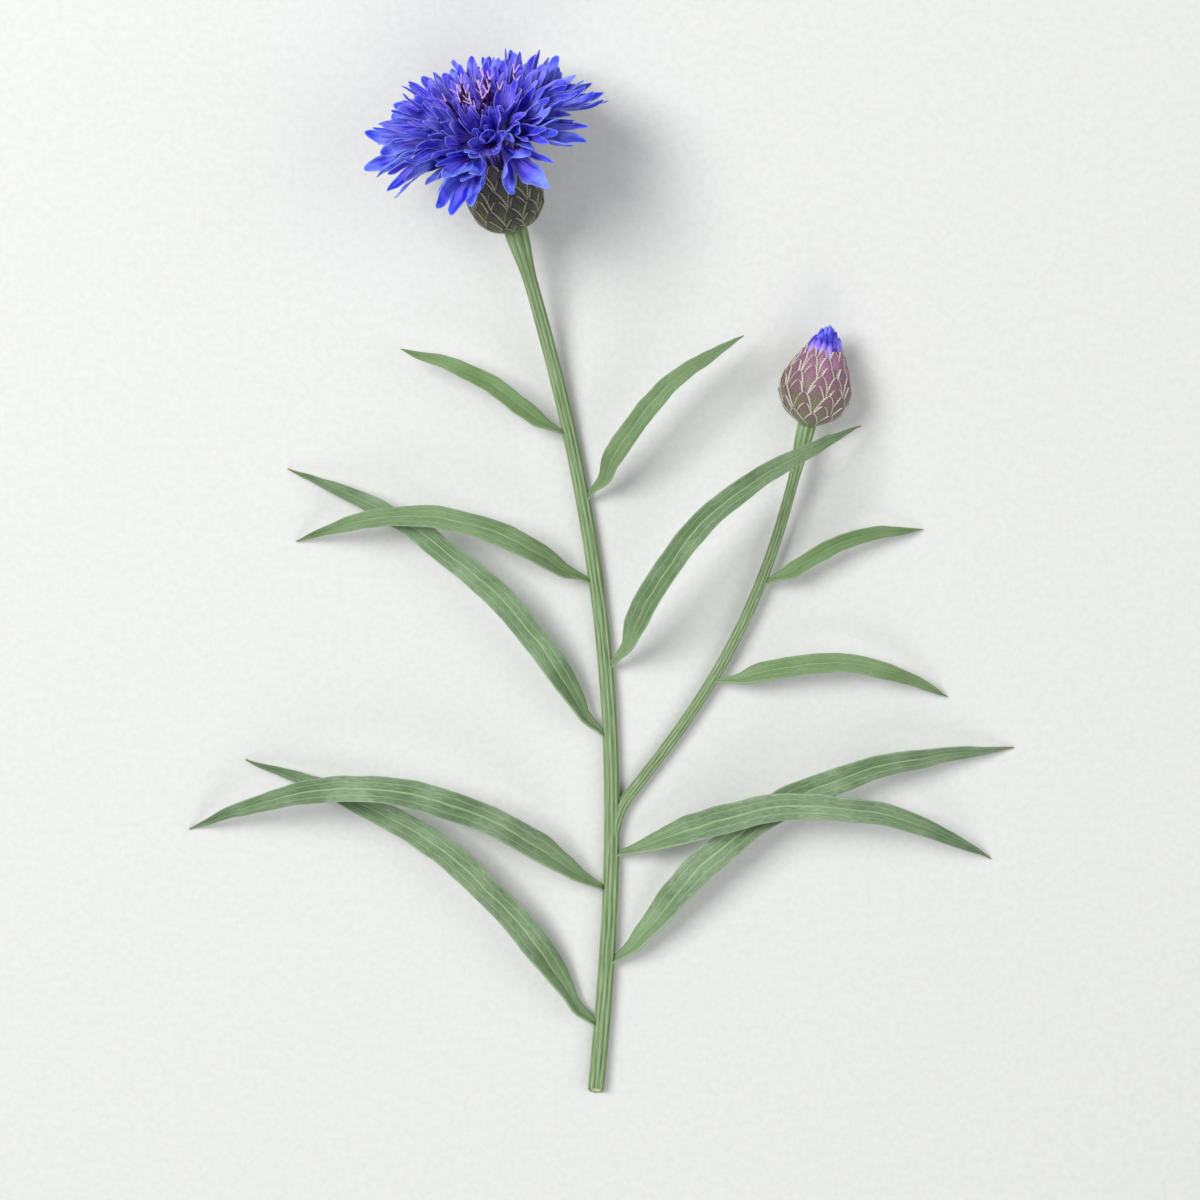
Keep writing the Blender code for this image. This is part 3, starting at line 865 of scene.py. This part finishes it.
class CORNFLOWER_OT_cup(bpy.types.Operator):
    """Adds the cup of overlapping fringed bracts under the head"""

    bl_idname = "cornflower.cup"
    bl_label = "Cup of bracts"

    def execute(self, context):
        sizes, colours = context.scene.cornflower_sizes, context.scene.cornflower_colours
        # The head's bracts are their own dark green and purple, darkened further by painted shade, as the cup
        # lies in the shadow of the florets; the bud's bracts are lighter.
        heights = ((0.0, linear("#5d6c42")), (0.45, colours.bract), (1.0, linear("#412f4c")))
        scale = bract_material(
            "leathery fringed bract with painted shade", heights, colours.bract_streak_and_shade, colours.bract_rim_and_shade, colours.fringe
        )
        rows = (
            (0.0, 3.4, 2.6), (0.4, 5.2, 3.1), (1.2, 7.0, 3.4), (2.4, 8.6, 3.5),
            (4.0, 10.2, 3.5), (5.6, 11.8, 3.3), (7.4, 13.2, 3.0), (9.0, 14.4, 2.7),
        )  # fmt: skip
        chance = random.Random(CUP_SEED)
        bract_rows("head", CUP_OUTLINE, HEAD_FRAME, rows, 11, scale, sizes.bract_thickness, chance)
        dress_core("head_core")
        return {"FINISHED"}


# ---- florets ----

USUAL_LOBES = 6
POINTS_PER_LOBE = 4  # of the rim that each lobe grows out of
SMOOTHING = 2  # levels of subdivision of a ray floret
# Lobes more than usual, and the share of the length where the funnel splits into them, in turn.
LOBE_KINDS = ((0, 0.62), (1, 0.66), (-1, 0.6))
# A lobe's width, as a share of its foot's, at shares of its length.
RAY_SWELL = ((0.2, 1.38), (0.45, 1.66), (0.7, 1.42), (0.88, 0.86), (1.0, 0.12))
DISC_SWELL = ((0.3, 1.0), (0.65, 0.8), (1.0, 0.2))
LOBE_SHORTENING = 0.14  # share by which a lobe at the side is shorter, and half that of an inner one


def opened(reach):
    """How far a floret's funnel is open at a share of its length, from 0 to 1."""
    return max(0.0, (reach - FUNNEL_START) / (1 - FUNNEL_START)) ** 1.1


def trumpet(name, lobes, length, half_width, half_depth, split, swell):
    """A straight floret along +Z: a slender tube, a funnel, and from a share of its length pointed lobes."""
    sides = POINTS_PER_LOBE * lobes
    deselect()
    bpy.ops.mesh.primitive_circle_add(vertices=sides, radius=BORE * MM, fill_type="NOTHING")
    piece = named(name)
    bpy.ops.object.mode_set(mode="EDIT")
    bpy.ops.mesh.select_all(action="SELECT")
    reach, deep, wide = 0.0, BORE, BORE
    for station in (0.2, *[lerp(FUNNEL_START, split, share) for share in (0, 0.35, 0.7, 1)]):
        to_deep = lerp(BORE, half_depth, opened(station))
        to_wide = lerp(BORE, half_width, opened(station))
        rise = (station - reach) * length * MM
        extrude((0, 0, rise), (to_deep / deep, to_wide / wide, 1), (0, 0, 0))
        reach, deep, wide = station, to_deep, to_wide
    work = bmesh.from_edit_mesh(piece.data)
    rim = [vertex for vertex in work.verts if vertex.select]
    rim.sort(key=lambda vertex: math.atan2(vertex.co.y / wide, vertex.co.x / deep))
    order = [vertex.index for vertex in rim]
    for k in range(lobes):
        chosen = [order[(POINTS_PER_LOBE * k + j) % sides] for j in range(POINTS_PER_LOBE + 1)]
        grow_lobe(piece, chosen, length, split, half_width, half_depth, swell)
    bpy.ops.object.mode_set(mode="OBJECT")
    bpy.ops.object.shade_smooth()
    return piece


def grow_lobe(piece, chosen, length, split, half_width, half_depth, swell):
    """Extrudes a stretch of the rim into one pointed lobe that goes on along the funnel."""
    select_points(piece, chosen)
    work = bmesh.from_edit_mesh(piece.data)
    work.verts.ensure_lookup_table()
    centre = sum((work.verts[k].co for k in chosen), Vector()) / len(chosen)
    deep = lerp(BORE, half_depth, opened(split))
    wide = lerp(BORE, half_width, opened(split))
    angle = math.atan2(centre.y / wide, centre.x / deep)
    # The lobes on the outer side of the head, +X here, are the longer ones.
    reach_out = 1 - (1 - split) * LOBE_SHORTENING * (1 - math.cos(angle))
    before = 1.0
    for share, width in swell:
        station = lerp(split, reach_out, share)
        goal = Vector((
            lerp(BORE, half_depth, opened(station)) * math.cos(angle),
            lerp(BORE, half_width, opened(station)) * math.sin(angle),
            station * length,
        )) * MM  # fmt: skip
        factor = width / before
        extrude(goal - centre, (factor, factor, factor), goal)
        centre, before = goal, width
    bpy.ops.mesh.merge(type="CENTER")


def mark_floret(piece, length, deep_to_wide):
    """Marks each point with its share along the floret, its turn around it, and 1 where it is on the rim."""
    work = bmesh.new()
    work.from_mesh(piece.data)
    top = FUNNEL_START * length * MM
    rim = {vertex.index for vertex in work.verts if vertex.is_boundary and vertex.co.z > top}
    work.free()
    spots = [vertex.co for vertex in piece.data.vertices]
    turns = [math.atan2(spot.y, spot.x / deep_to_wide) / (2 * math.pi) % 1 for spot in spots]
    mark(
        piece,
        along=[spot.z / (length * MM) for spot in spots],
        around=[turn * USUAL_LOBES for turn in turns],
        edge=[float(i in rim) for i in range(len(spots))],
    )


def ray_template(name, lobes, ring, split, wall, levels, swell):
    """A finished straight floret, to be copied and bent."""
    _, _, _, length, _, half_width, half_depth = ring
    piece = trumpet(name, lobes, length, half_width, half_depth, split, swell)
    mark_floret(piece, length, half_depth / half_width)
    apply_modifier(piece, "SUBSURF", levels=levels, render_levels=levels)
    apply_modifier(piece, "SOLIDIFY", thickness=wall, offset=1)
    return piece


def bend_handle():
    """An empty, whose place is where a floret starts to bend."""
    made = bpy.data.objects.new("bend_point", None)
    bpy.context.scene.collection.objects.link(made)
    return made


def bent_floret(name, template, ring, turn, stretch, angle, twist, roll, bend_point):
    """A copy of a straight floret: twisted, bent where it leaves the cup, and set in the head."""
    _, foot_radius, foot_height, length, *_ = ring
    piece = copied(name, template)
    placed(piece, Matrix.Diagonal((1, 1, stretch, 1)))
    length *= stretch
    start = (MOUTH_HEIGHT - foot_height) / length
    stop = start + BEND_LENGTH / length
    if twist:
        apply_modifier(
            piece, "SIMPLE_DEFORM", deform_method="TWIST", deform_axis="Z", angle=twist, limits=(stop, 1.0)
        )
    bend_point.location = (0, 0, start * length * MM)
    bpy.context.view_layer.update()
    apply_modifier(
        piece, "SIMPLE_DEFORM", deform_method="BEND", deform_axis="Y", origin=bend_point,
        angle=math.radians(angle) - FOOT_ANGLE, limits=(start, stop),
    )  # fmt: skip
    foot = Matrix.Translation((foot_radius * MM, 0, foot_height * MM)) @ Matrix.Rotation(FOOT_ANGLE, 4, "Y")
    return placed(piece, HEAD_FRAME @ Matrix.Rotation(turn, 4, "Z") @ foot @ Matrix.Rotation(roll, 4, "Z"))


# Rings of ray florets: name, first turn in steps, and count, foot radius, foot height, length, angle from
# the head's axis, half width, half depth. The filling rings have no solids of their own.
HEAD_RINGS = (
    ("outer_floret", 0.5, (10, 3.2, 8.8, 23.6, 85.0, 4.9, 2.7)),
    ("middle_floret", 0.0, (10, 2.45, 9.3, 22.4, 60.0, 4.1, 2.3)),
    ("inner_floret", 0.35, (7, 1.6, 9.6, 19.2, 35.0, 3.2, 2.0)),
    ("filling_low", 0.2, (9, 2.9, 9.0, 21.6, 73.0, 3.9, 2.2)),
    ("filling_mid", 0.6, (9, 2.1, 9.4, 20.6, 48.0, 3.5, 2.0)),
    ("filling_top", 0.1, (6, 1.2, 9.7, 17.0, 22.0, 2.4, 1.6)),
)
# Each outer floret's share of the full length, and the degrees by which it leans in to the head's axis.
OUTER_SWAY = (
    (1.0, 0), (0.97, -2), (1.0, 3), (1.03, 5), (0.98, -4),
    (0.93, -8), (0.92, 2), (1.0, 4), (0.96, -3), (1.0, 0),
)  # fmt: skip


class CORNFLOWER_OT_ray_florets(bpy.types.Operator):
    """Adds the blue trumpet florets of the head, with pointed lobes"""

    bl_idname = "cornflower.ray_florets"
    bl_label = "Ray florets"

    def execute(self, context):
        sizes, colours = context.scene.cornflower_sizes, context.scene.cornflower_colours
        stops = (
            (0.0, linear("#d8cdf6")), (0.34, linear("#8f7be6")), (0.5, colours.petal_deep),
            (0.72, colours.petal), (1.0, colours.petal_tip),
        )  # fmt: skip
        blue = petal_material(
            "cornflower blue petal", stops, colours.petal_rim_highlight, colours.petal_shadow, colours.petal_violet,
            colours.petal_streak, 0.45,
        )  # fmt: skip
        chance = random.Random(sizes.seed)
        ruffle = Ruffle(7.0, 2.2)
        bend_point = bend_handle()
        for prefix, first, ring in HEAD_RINGS:
            count, angle = ring[0], ring[4]
            filling = prefix.startswith("filling")
            shapes = []
            for more, split in LOBE_KINDS:
                lobes, wall = sizes.lobes + more, sizes.petal_thickness
                name = f"{prefix}_shape_{lobes}"
                shapes.append(ray_template(name, lobes, ring, split, wall, SMOOTHING, RAY_SWELL))
            for i in range(count):
                number = f"{prefix}_{i + 1:02d}"
                if prefix == "outer_floret":
                    stretch, lift = OUTER_SWAY[i]
                else:
                    stretch, lift = chance.uniform(0.93, 1.0), chance.uniform(-4, 4)
                turn = 2 * math.pi * (i + first) / count
                if filling:
                    # Drawn again, more loosely.
                    stretch, lift = chance.uniform(0.86, 1.0), chance.uniform(-7, 7)
                    turn += chance.uniform(-0.14, 0.14)
                twist = math.radians(chance.uniform(-26, 26))
                shape, lean = shapes[i % len(shapes)], angle - lift
                piece = bent_floret(
                    f"{number}_petals", shape, ring, turn, stretch, lean, twist, 0.0, bend_point
                )
                ruffle.push(piece)
                mark(piece, shade=chance.random(), inner=1 - angle / 85)
                piece.data.materials.append(blue)
                settle(piece, "cornflower_blue", *([] if filling else [number]))
            for shape in shapes:
                bpy.data.objects.remove(shape)
        bpy.data.objects.remove(bend_point)
        return {"FINISHED"}


# Rings of disc florets: name, whether it has solids, count, foot radius, degrees from the head's axis, first
# turn in steps, and what is added to the length.
DISC_RINGS = (
    ("disc_floret", True, 5, 0.8, 9.0, 0.0, 0.0),
    ("disc_filling_2", False, 7, 1.8, 17.0, 0.4, 0.05),
    ("disc_filling_3", False, 10, 2.6, 27.0, 0.1, 0.05),
)
DISC_SHAPE = (9.8, 13.2, 9.0, 0.95, 0.95)  # foot height, length, angle, half width, half depth
ANTHER_LOW, ANTHER_LENGTH, ANTHER_RADIUS = 11.6, 2.6, 0.26
ANTHER_CAP = (0.35, 0.55)  # height, and width as a share
STYLE_ARM = (0.13, 0.07, 1.5)  # radius at the foot and at the tip, and length
STYLE_FORK = (0.28, 0.9, 0.42)  # an arm's middle: beside the axis and above the anthers; its lean in radians


def anther_piece():
    """A dark tube of anthers along +Z, and the two arms of the style that stand out of it."""
    top = ANTHER_LOW + ANTHER_LENGTH
    deselect()
    bpy.ops.mesh.primitive_cylinder_add(
        vertices=8, radius=ANTHER_RADIUS * MM, depth=ANTHER_LENGTH * MM,
        location=(0, 0, (top - ANTHER_LENGTH / 2) * MM),
    )  # fmt: skip
    tube = named("anthers")
    bpy.ops.object.transform_apply(location=True)
    upper = [vertex.index for vertex in tube.data.vertices if vertex.co.z > (top - 0.1) * MM]
    bpy.ops.object.mode_set(mode="EDIT")
    select_points(tube, upper)
    cap_height, cap_width = ANTHER_CAP
    extrude((0, 0, cap_height * MM), (cap_width, cap_width, 1), (0, 0, top * MM))
    bpy.ops.object.mode_set(mode="OBJECT")
    arms = []
    thick, thin, length = STYLE_ARM
    beside, above, lean = STYLE_FORK
    for side in (-1, 1):
        deselect()
        bpy.ops.mesh.primitive_cone_add(
            vertices=6, radius1=thick * MM, radius2=thin * MM, depth=length * MM,
            location=(beside * side * MM, 0, (top + above) * MM), rotation=(0, lean * side, 0),
        )  # fmt: skip
        bpy.ops.object.transform_apply(location=True, rotation=True)
        arms.append(named("style_arm"))
    return tube, arms


class CORNFLOWER_OT_disc(bpy.types.Operator):
    """Adds the violet disc florets, with their dark anthers and pink styles"""

    bl_idname = "cornflower.disc"
    bl_label = "Disc florets"

    def execute(self, context):
        sizes, colours = context.scene.cornflower_sizes, context.scene.cornflower_colours
        stops = ((0.0, linear("#e6dcf8")), (0.5, colours.disc), (1.0, linear("#6a35c4")))
        # The pale lilac rim colour of the disc florets is a painted highlight along their thin edges.
        violet = petal_material(
            "violet disc petal", stops, linear("#b592ee"), linear("#3a1f86"), colours.petal_violet,
            colours.petal_streak, 0.5,
        )  # fmt: skip
        dark = tissue_material("dark violet anther", linear("#3b1d5e"), linear("#23113d"), 3000.0, 0.5)
        pink = tissue_material("pinkish style", linear("#efc6f0"), linear("#c79be2"), 3000.0, 0.5)
        chance = random.Random(sizes.seed + 1)
        shape = ray_template(
            "disc_shape", 5, (0, 0, *DISC_SHAPE), 0.74, sizes.petal_thickness, 1, DISC_SWELL
        )
        shape.data.materials.append(violet)
        mark(shape, shade=0.5, inner=1.0)
        tube, arms = anther_piece()
        tube.data.materials.append(dark)
        for arm in arms:
            arm.data.materials.append(pink)
        shape = joined("disc_shape", [shape, tube, *arms])
        bend_point = bend_handle()
        for prefix, has_solids, count, foot_radius, angle, first, longer in DISC_RINGS:
            ring = (count, foot_radius, *DISC_SHAPE)
            for i in range(count):
                number = f"{prefix}_{i + 1:02d}"
                name = f"{number}_petals" if has_solids else number
                turn = 2 * math.pi * (i + first) / count
                lift = chance.uniform(-4, 4)
                stretch = chance.uniform(0.96, 1.06) + longer
                roll = chance.uniform(0, 6)
                piece = bent_floret(name, shape, ring, turn, stretch, angle + lift, 0.0, roll, bend_point)
                settle(piece, "disc_violet", *([number] if has_solids else []))
        bpy.data.objects.remove(shape)
        bpy.data.objects.remove(bend_point)
        return {"FINISHED"}


# ---- closed bud ----

SHUT_FOOT = 10.5  # height in the bud of the feet of its shut florets
SHUT_WIDTH = 1.5
SHUT_FOLDS = 5
SHUT_GROOVE = 0.72  # radius between two folds, as a share of that on a fold
SHUT_TURN = 0.18  # radians by which the folds wind on from height to height
TUFT_SEED = 5
# Rings of shut florets: count, distance from the bud's axis, and height of their tips.
SHUT_RINGS = ((13, 2.75, 15.3), (10, 1.95, 16.3), (6, 1.1, 16.9), (2, 0.3, 17.1))
# A shut floret's width, as a share of its foot's, at shares of its length.
SHUT_SWELL = ((0.3, 1.05), (0.55, 1.0), (0.75, 0.78), (0.9, 0.45), (1.0, 0.1))


def shut_shape():
    """A rolled-up floret, modelled once: five folds that run up it and close in a point, 1 mm long."""
    deselect()
    bpy.ops.mesh.primitive_circle_add(vertices=2 * SHUT_FOLDS, radius=0.5 * MM, fill_type="NOTHING")
    piece = named("shut_floret")
    bpy.ops.object.mode_set(mode="EDIT")
    select_points(piece, range(0, 2 * SHUT_FOLDS, 2))
    bpy.ops.transform.resize(value=(SHUT_GROOVE, SHUT_GROOVE, 1), center_override=(0, 0, 0))
    bpy.ops.mesh.select_all(action="SELECT")
    width, height = 1.0, 0.0
    for to_height, to_width in SHUT_SWELL:
        factor = to_width / width
        extrude((0, 0, (to_height - height) * MM), (factor, factor, 1), (0, 0, 0))
        bpy.ops.transform.rotate(value=SHUT_TURN, orient_axis="Z", center_override=(0, 0, 0))
        width, height = to_width, to_height
    bpy.ops.mesh.merge(type="CENTER")
    bpy.ops.mesh.select_all(action="DESELECT")
    bpy.ops.mesh.select_non_manifold()
    bpy.ops.mesh.merge(type="CENTER")
    bpy.ops.object.mode_set(mode="OBJECT")
    close_seams(piece)
    bpy.ops.object.shade_smooth()
    apply_modifier(piece, "SUBSURF", levels=1, render_levels=1)
    mark(piece, along=[v.co.z / MM for v in piece.data.vertices], around=0.0, edge=0.0)
    return piece


def shut_floret(shape, turn, out, top, chance):
    """A copy of the rolled-up floret, stretched, turned about itself, and leaning in over the bud's tip."""
    piece = copied("shut_floret", shape)
    length = top + chance.uniform(-0.35, 0.25) - SHUT_FOOT
    lean = -math.atan2(out * chance.uniform(0.3, 0.5), length)
    stretch = Matrix.Diagonal((SHUT_WIDTH, SHUT_WIDTH, length, 1))
    spin = Matrix.Rotation(chance.uniform(0, 6), 4, "Z")
    foot = Matrix.Translation((out * MM, 0, SHUT_FOOT * MM)) @ Matrix.Rotation(lean, 4, "Y")
    mark(piece, shade=chance.random(), inner=0.2)
    return placed(piece, Matrix.Rotation(turn, 4, "Z") @ foot @ spin @ stretch)


class CORNFLOWER_OT_bud(bpy.types.Operator):
    """Adds the closed bud: its fringed bracts and the tuft of shut florets at its tip"""

    bl_idname = "cornflower.bud"
    bl_label = "Closed bud"

    def execute(self, context):
        sizes, colours = context.scene.cornflower_sizes, context.scene.cornflower_colours
        heights = (
            (0.0, linear("#7f8a62")), (0.42, linear("#6f6f58")), (0.66, linear("#8d6274")),
            (0.95, linear("#bb7cb8")),
        )  # fmt: skip
        scale = bract_material(
            "fringed bud bract", heights, linear("#4c4f3c"), linear("#744c60"), linear("#c2bcac")
        )
        rows = (
            (0.0, 3.4, 2.3), (0.4, 5.0, 2.8), (1.2, 6.8, 3.1), (2.4, 8.2, 3.3),
            (4.0, 9.6, 3.2), (5.6, 11.0, 2.9), (7.2, 12.4, 2.5), (8.6, 13.4, 2.1),
        )  # fmt: skip
        chance = random.Random(BUD_SEED)
        bract_rows("bud", BUD_OUTLINE, BUD_FRAME, rows, 10, scale, sizes.bract_thickness, chance)
        dress_core("bud_core")
        stops = (
            (0.0, linear("#c98ad6")), (0.5, linear("#b274d8")), (0.66, linear("#7c5ce2")),
            (0.85, colours.petal_tip), (1.0, colours.petal),
        )  # fmt: skip
        shut = petal_material(
            "shut violet petal", stops, colours.petal_rim_highlight, linear("#34208c"), colours.petal_violet,
            colours.petal_streak, 0.5,
        )  # fmt: skip
        chance = random.Random(TUFT_SEED)
        tips = []
        shape = shut_shape()
        for ring, (count, out, top) in enumerate(SHUT_RINGS):
            for i in range(count):
                turn = 2 * math.pi * (i + 0.5 * ring) / count
                tips.append(shut_floret(shape, turn, out, top, chance))
        bpy.data.objects.remove(shape)
        tuft = placed(joined("bud_tuft_petals", tips), BUD_FRAME)
        tuft.data.materials.append(shut)
        settle(tuft, "disc_violet", "bud_tuft")
        return {"FINISHED"}


# ---- stage ----

CAMERA_LEAN = math.radians(11)  # from straight overhead, on the head's side
CAMERA_DISTANCE = 0.53
FLOOR_SIZE = 3.0
SKY_COLOUR, SKY_STRENGTH = (0.97, 0.98, 1.0, 1.0), 0.36
# Lights: name, place, size in metres and power in watts. Each shines at the middle of the floor.
LIGHTS = (
    ("key", (-0.45, 0.35, 0.75), 0.4, 8.5),
    ("fill", (0.6, 0.1, 0.6), 0.6, 2.0),
    ("back", (0.05, -0.6, 0.5), 0.5, 1.6),
)


class CORNFLOWER_OT_stage(bpy.types.Operator):
    """Adds the pale floor, the soft lights and the camera"""

    bl_idname = "cornflower.stage"
    bl_label = "Floor, lights and camera"

    def execute(self, context):
        colours = context.scene.cornflower_colours
        deselect()
        bpy.ops.mesh.primitive_plane_add(size=FLOOR_SIZE, location=(0, 0, 0))
        floor = named("floor")
        paper = tissue_material("pale studio paper", colours.floor, linear("#cccdca"), 900, 0.9)
        floor.data.materials.append(paper)

        world = context.scene.world or bpy.data.worlds.new("soft daylight")
        context.scene.world = world
        world.use_nodes = True
        sky = world.node_tree.nodes["Background"]
        sky.inputs["Color"].default_value = SKY_COLOUR
        sky.inputs["Strength"].default_value = SKY_STRENGTH
        for name, place, size, power in LIGHTS:
            bpy.ops.object.light_add(type="AREA", location=place)
            lamp = named(name)
            lamp.data.size = size
            lamp.data.energy = power
            lamp.rotation_euler = (-Vector(place)).to_track_quat("-Z", "Y").to_euler()

        low, high = CAD_BOX
        middle = (Vector(low) + Vector(high)) / 2
        towards = Vector((0, math.sin(CAMERA_LEAN), math.cos(CAMERA_LEAN)))
        bpy.ops.object.camera_add(location=middle + towards * CAMERA_DISTANCE)
        camera = named("camera")
        camera.data.lens = 100
        camera.data.sensor_width = 36
        forward = -towards
        right = Vector((1, 0, 0))
        upwards = right.cross(forward)
        camera.rotation_euler = Matrix((right, upwards, -forward)).transposed().to_euler()
        context.scene.camera = camera
        context.scene.view_settings.view_transform = "Standard"
        return {"FINISHED"}


# ---- properties, panel and registration ----


def colour_property(name, description, colour):
    return FloatVectorProperty(
        name=name, description=description, subtype="COLOR", size=4, min=0, max=1, default=linear(colour)
    )


class CornflowerSizes(bpy.types.PropertyGroup):
    lobes: IntProperty(name="Lobes", description="Pointed lobes of a ray floret", default=6, min=4, max=8)
    petal_thickness: FloatProperty(
        name="Petal thickness", description="Thickness of a petal", default=0.09 * MM, unit="LENGTH"
    )
    leaf_thickness: FloatProperty(
        name="Leaf thickness", description="Thickness of a leaf", default=0.32 * MM, unit="LENGTH"
    )
    bract_thickness: FloatProperty(
        name="Bract thickness", description="Thickness of a bract", default=0.12 * MM, unit="LENGTH"
    )
    stem_ribs: IntProperty(name="Stem ribs", description="Ribs around a stalk", default=8, min=5, max=12)
    rib_depth: FloatProperty(
        name="Rib depth", description="Depth of the grooves, as a share of the radius", default=0.09,
        min=0, max=0.3, subtype="FACTOR",
    )  # fmt: skip
    seed: IntProperty(name="Seed", description="Start of the random numbers that vary the florets", default=4)


class CornflowerColours(bpy.types.PropertyGroup):
    petal: colour_property("Petal", "Blue of a ray floret's lobes", "#2c3aee")
    petal_tip: colour_property("Petal tip", "Lighter blue at the tips of the lobes", "#4767fa")
    petal_deep: colour_property("Petal throat", "Deep violet-blue inside the funnel", "#2a20c8")
    petal_shadow: colour_property("Petal shadow", "Darkest blue of the veins", "#1814a8")
    # Pale rim of the lobes: a painted highlight along their thin edges.
    petal_rim_highlight: colour_property("Petal edge", "Pale rim of the lobes", "#9db6ff")
    petal_violet: colour_property("Petal violet", "Violet of the florets nearest the middle", "#5c38e0")
    petal_streak: colour_property("Petal streak", "Lilac streaks out of the throat", "#b99cfa")
    disc: colour_property("Disc", "Violet of the disc florets", "#7a4ad8")
    leaf: colour_property("Leaf", "Grey-green of a leaf", "#4e6b42")
    leaf_dark: colour_property("Leaf shade", "Darker green of a leaf's skin", "#2f4a26")
    leaf_vein: colour_property("Leaf vein", "Pale green of the midrib", "#94b07a")
    leaf_fresh: colour_property("Young leaf", "Yellow-green of the youngest leaves", "#6b8c46")
    wool: colour_property("Wool", "Greyish white of the cobweb wool", "#a5bb9b")
    stem: colour_property("Stem", "Green of the stem's ribs", "#7d9464")
    stem_groove: colour_property("Stem groove", "Darker green between the ribs", "#4f6637")
    # These four are the head's bract colours: their own green, purple and pale fringe, darkened further by
    # painted shade, as the cup lies in the shadow of its florets.
    bract: colour_property("Bract", "Green of the bracts", "#454d31")
    bract_streak_and_shade: colour_property("Bract streak", "Darker streaks in the bracts", "#262b1c")
    bract_rim_and_shade: colour_property("Bract rim", "Purple-black of a bract's rim and tip", "#24182c")
    fringe: colour_property("Fringe", "Pale papery fringe of the bracts", "#8f8a74")
    floor: colour_property("Floor", "Pale floor", "#d0d1cf")


class CORNFLOWER_PT_panel(bpy.types.Panel):
    """Lists the operators, sizes and colours"""

    bl_idname = "CORNFLOWER_PT_panel"
    bl_label = "Cornflower"
    bl_space_type = "VIEW_3D"
    bl_region_type = "UI"
    bl_category = "Cornflower"

    def draw(self, context):
        for operator in OPERATORS:
            self.layout.operator(operator.bl_idname)
        for group in (context.scene.cornflower_sizes, context.scene.cornflower_colours):
            box = self.layout.box()
            for key in group.__annotations__:
                box.prop(group, key)


OPERATORS = (
    CORNFLOWER_OT_stalks,
    CORNFLOWER_OT_leaves,
    CORNFLOWER_OT_cup,
    CORNFLOWER_OT_ray_florets,
    CORNFLOWER_OT_disc,
    CORNFLOWER_OT_bud,
    CORNFLOWER_OT_stage,
)
CLASSES = (CornflowerSizes, CornflowerColours, *OPERATORS, CORNFLOWER_PT_panel)


def register():
    for entry in CLASSES:
        bpy.utils.register_class(entry)
    bpy.types.Scene.cornflower_sizes = PointerProperty(type=CornflowerSizes)
    bpy.types.Scene.cornflower_colours = PointerProperty(type=CornflowerColours)


def unregister():
    del bpy.types.Scene.cornflower_colours
    del bpy.types.Scene.cornflower_sizes
    for entry in reversed(CLASSES):
        bpy.utils.unregister_class(entry)


def main():
    register()
    for operator in OPERATORS:
        group, action = operator.bl_idname.split(".")
        getattr(getattr(bpy.ops, group), action)()


if __name__ == "__main__":
    main()
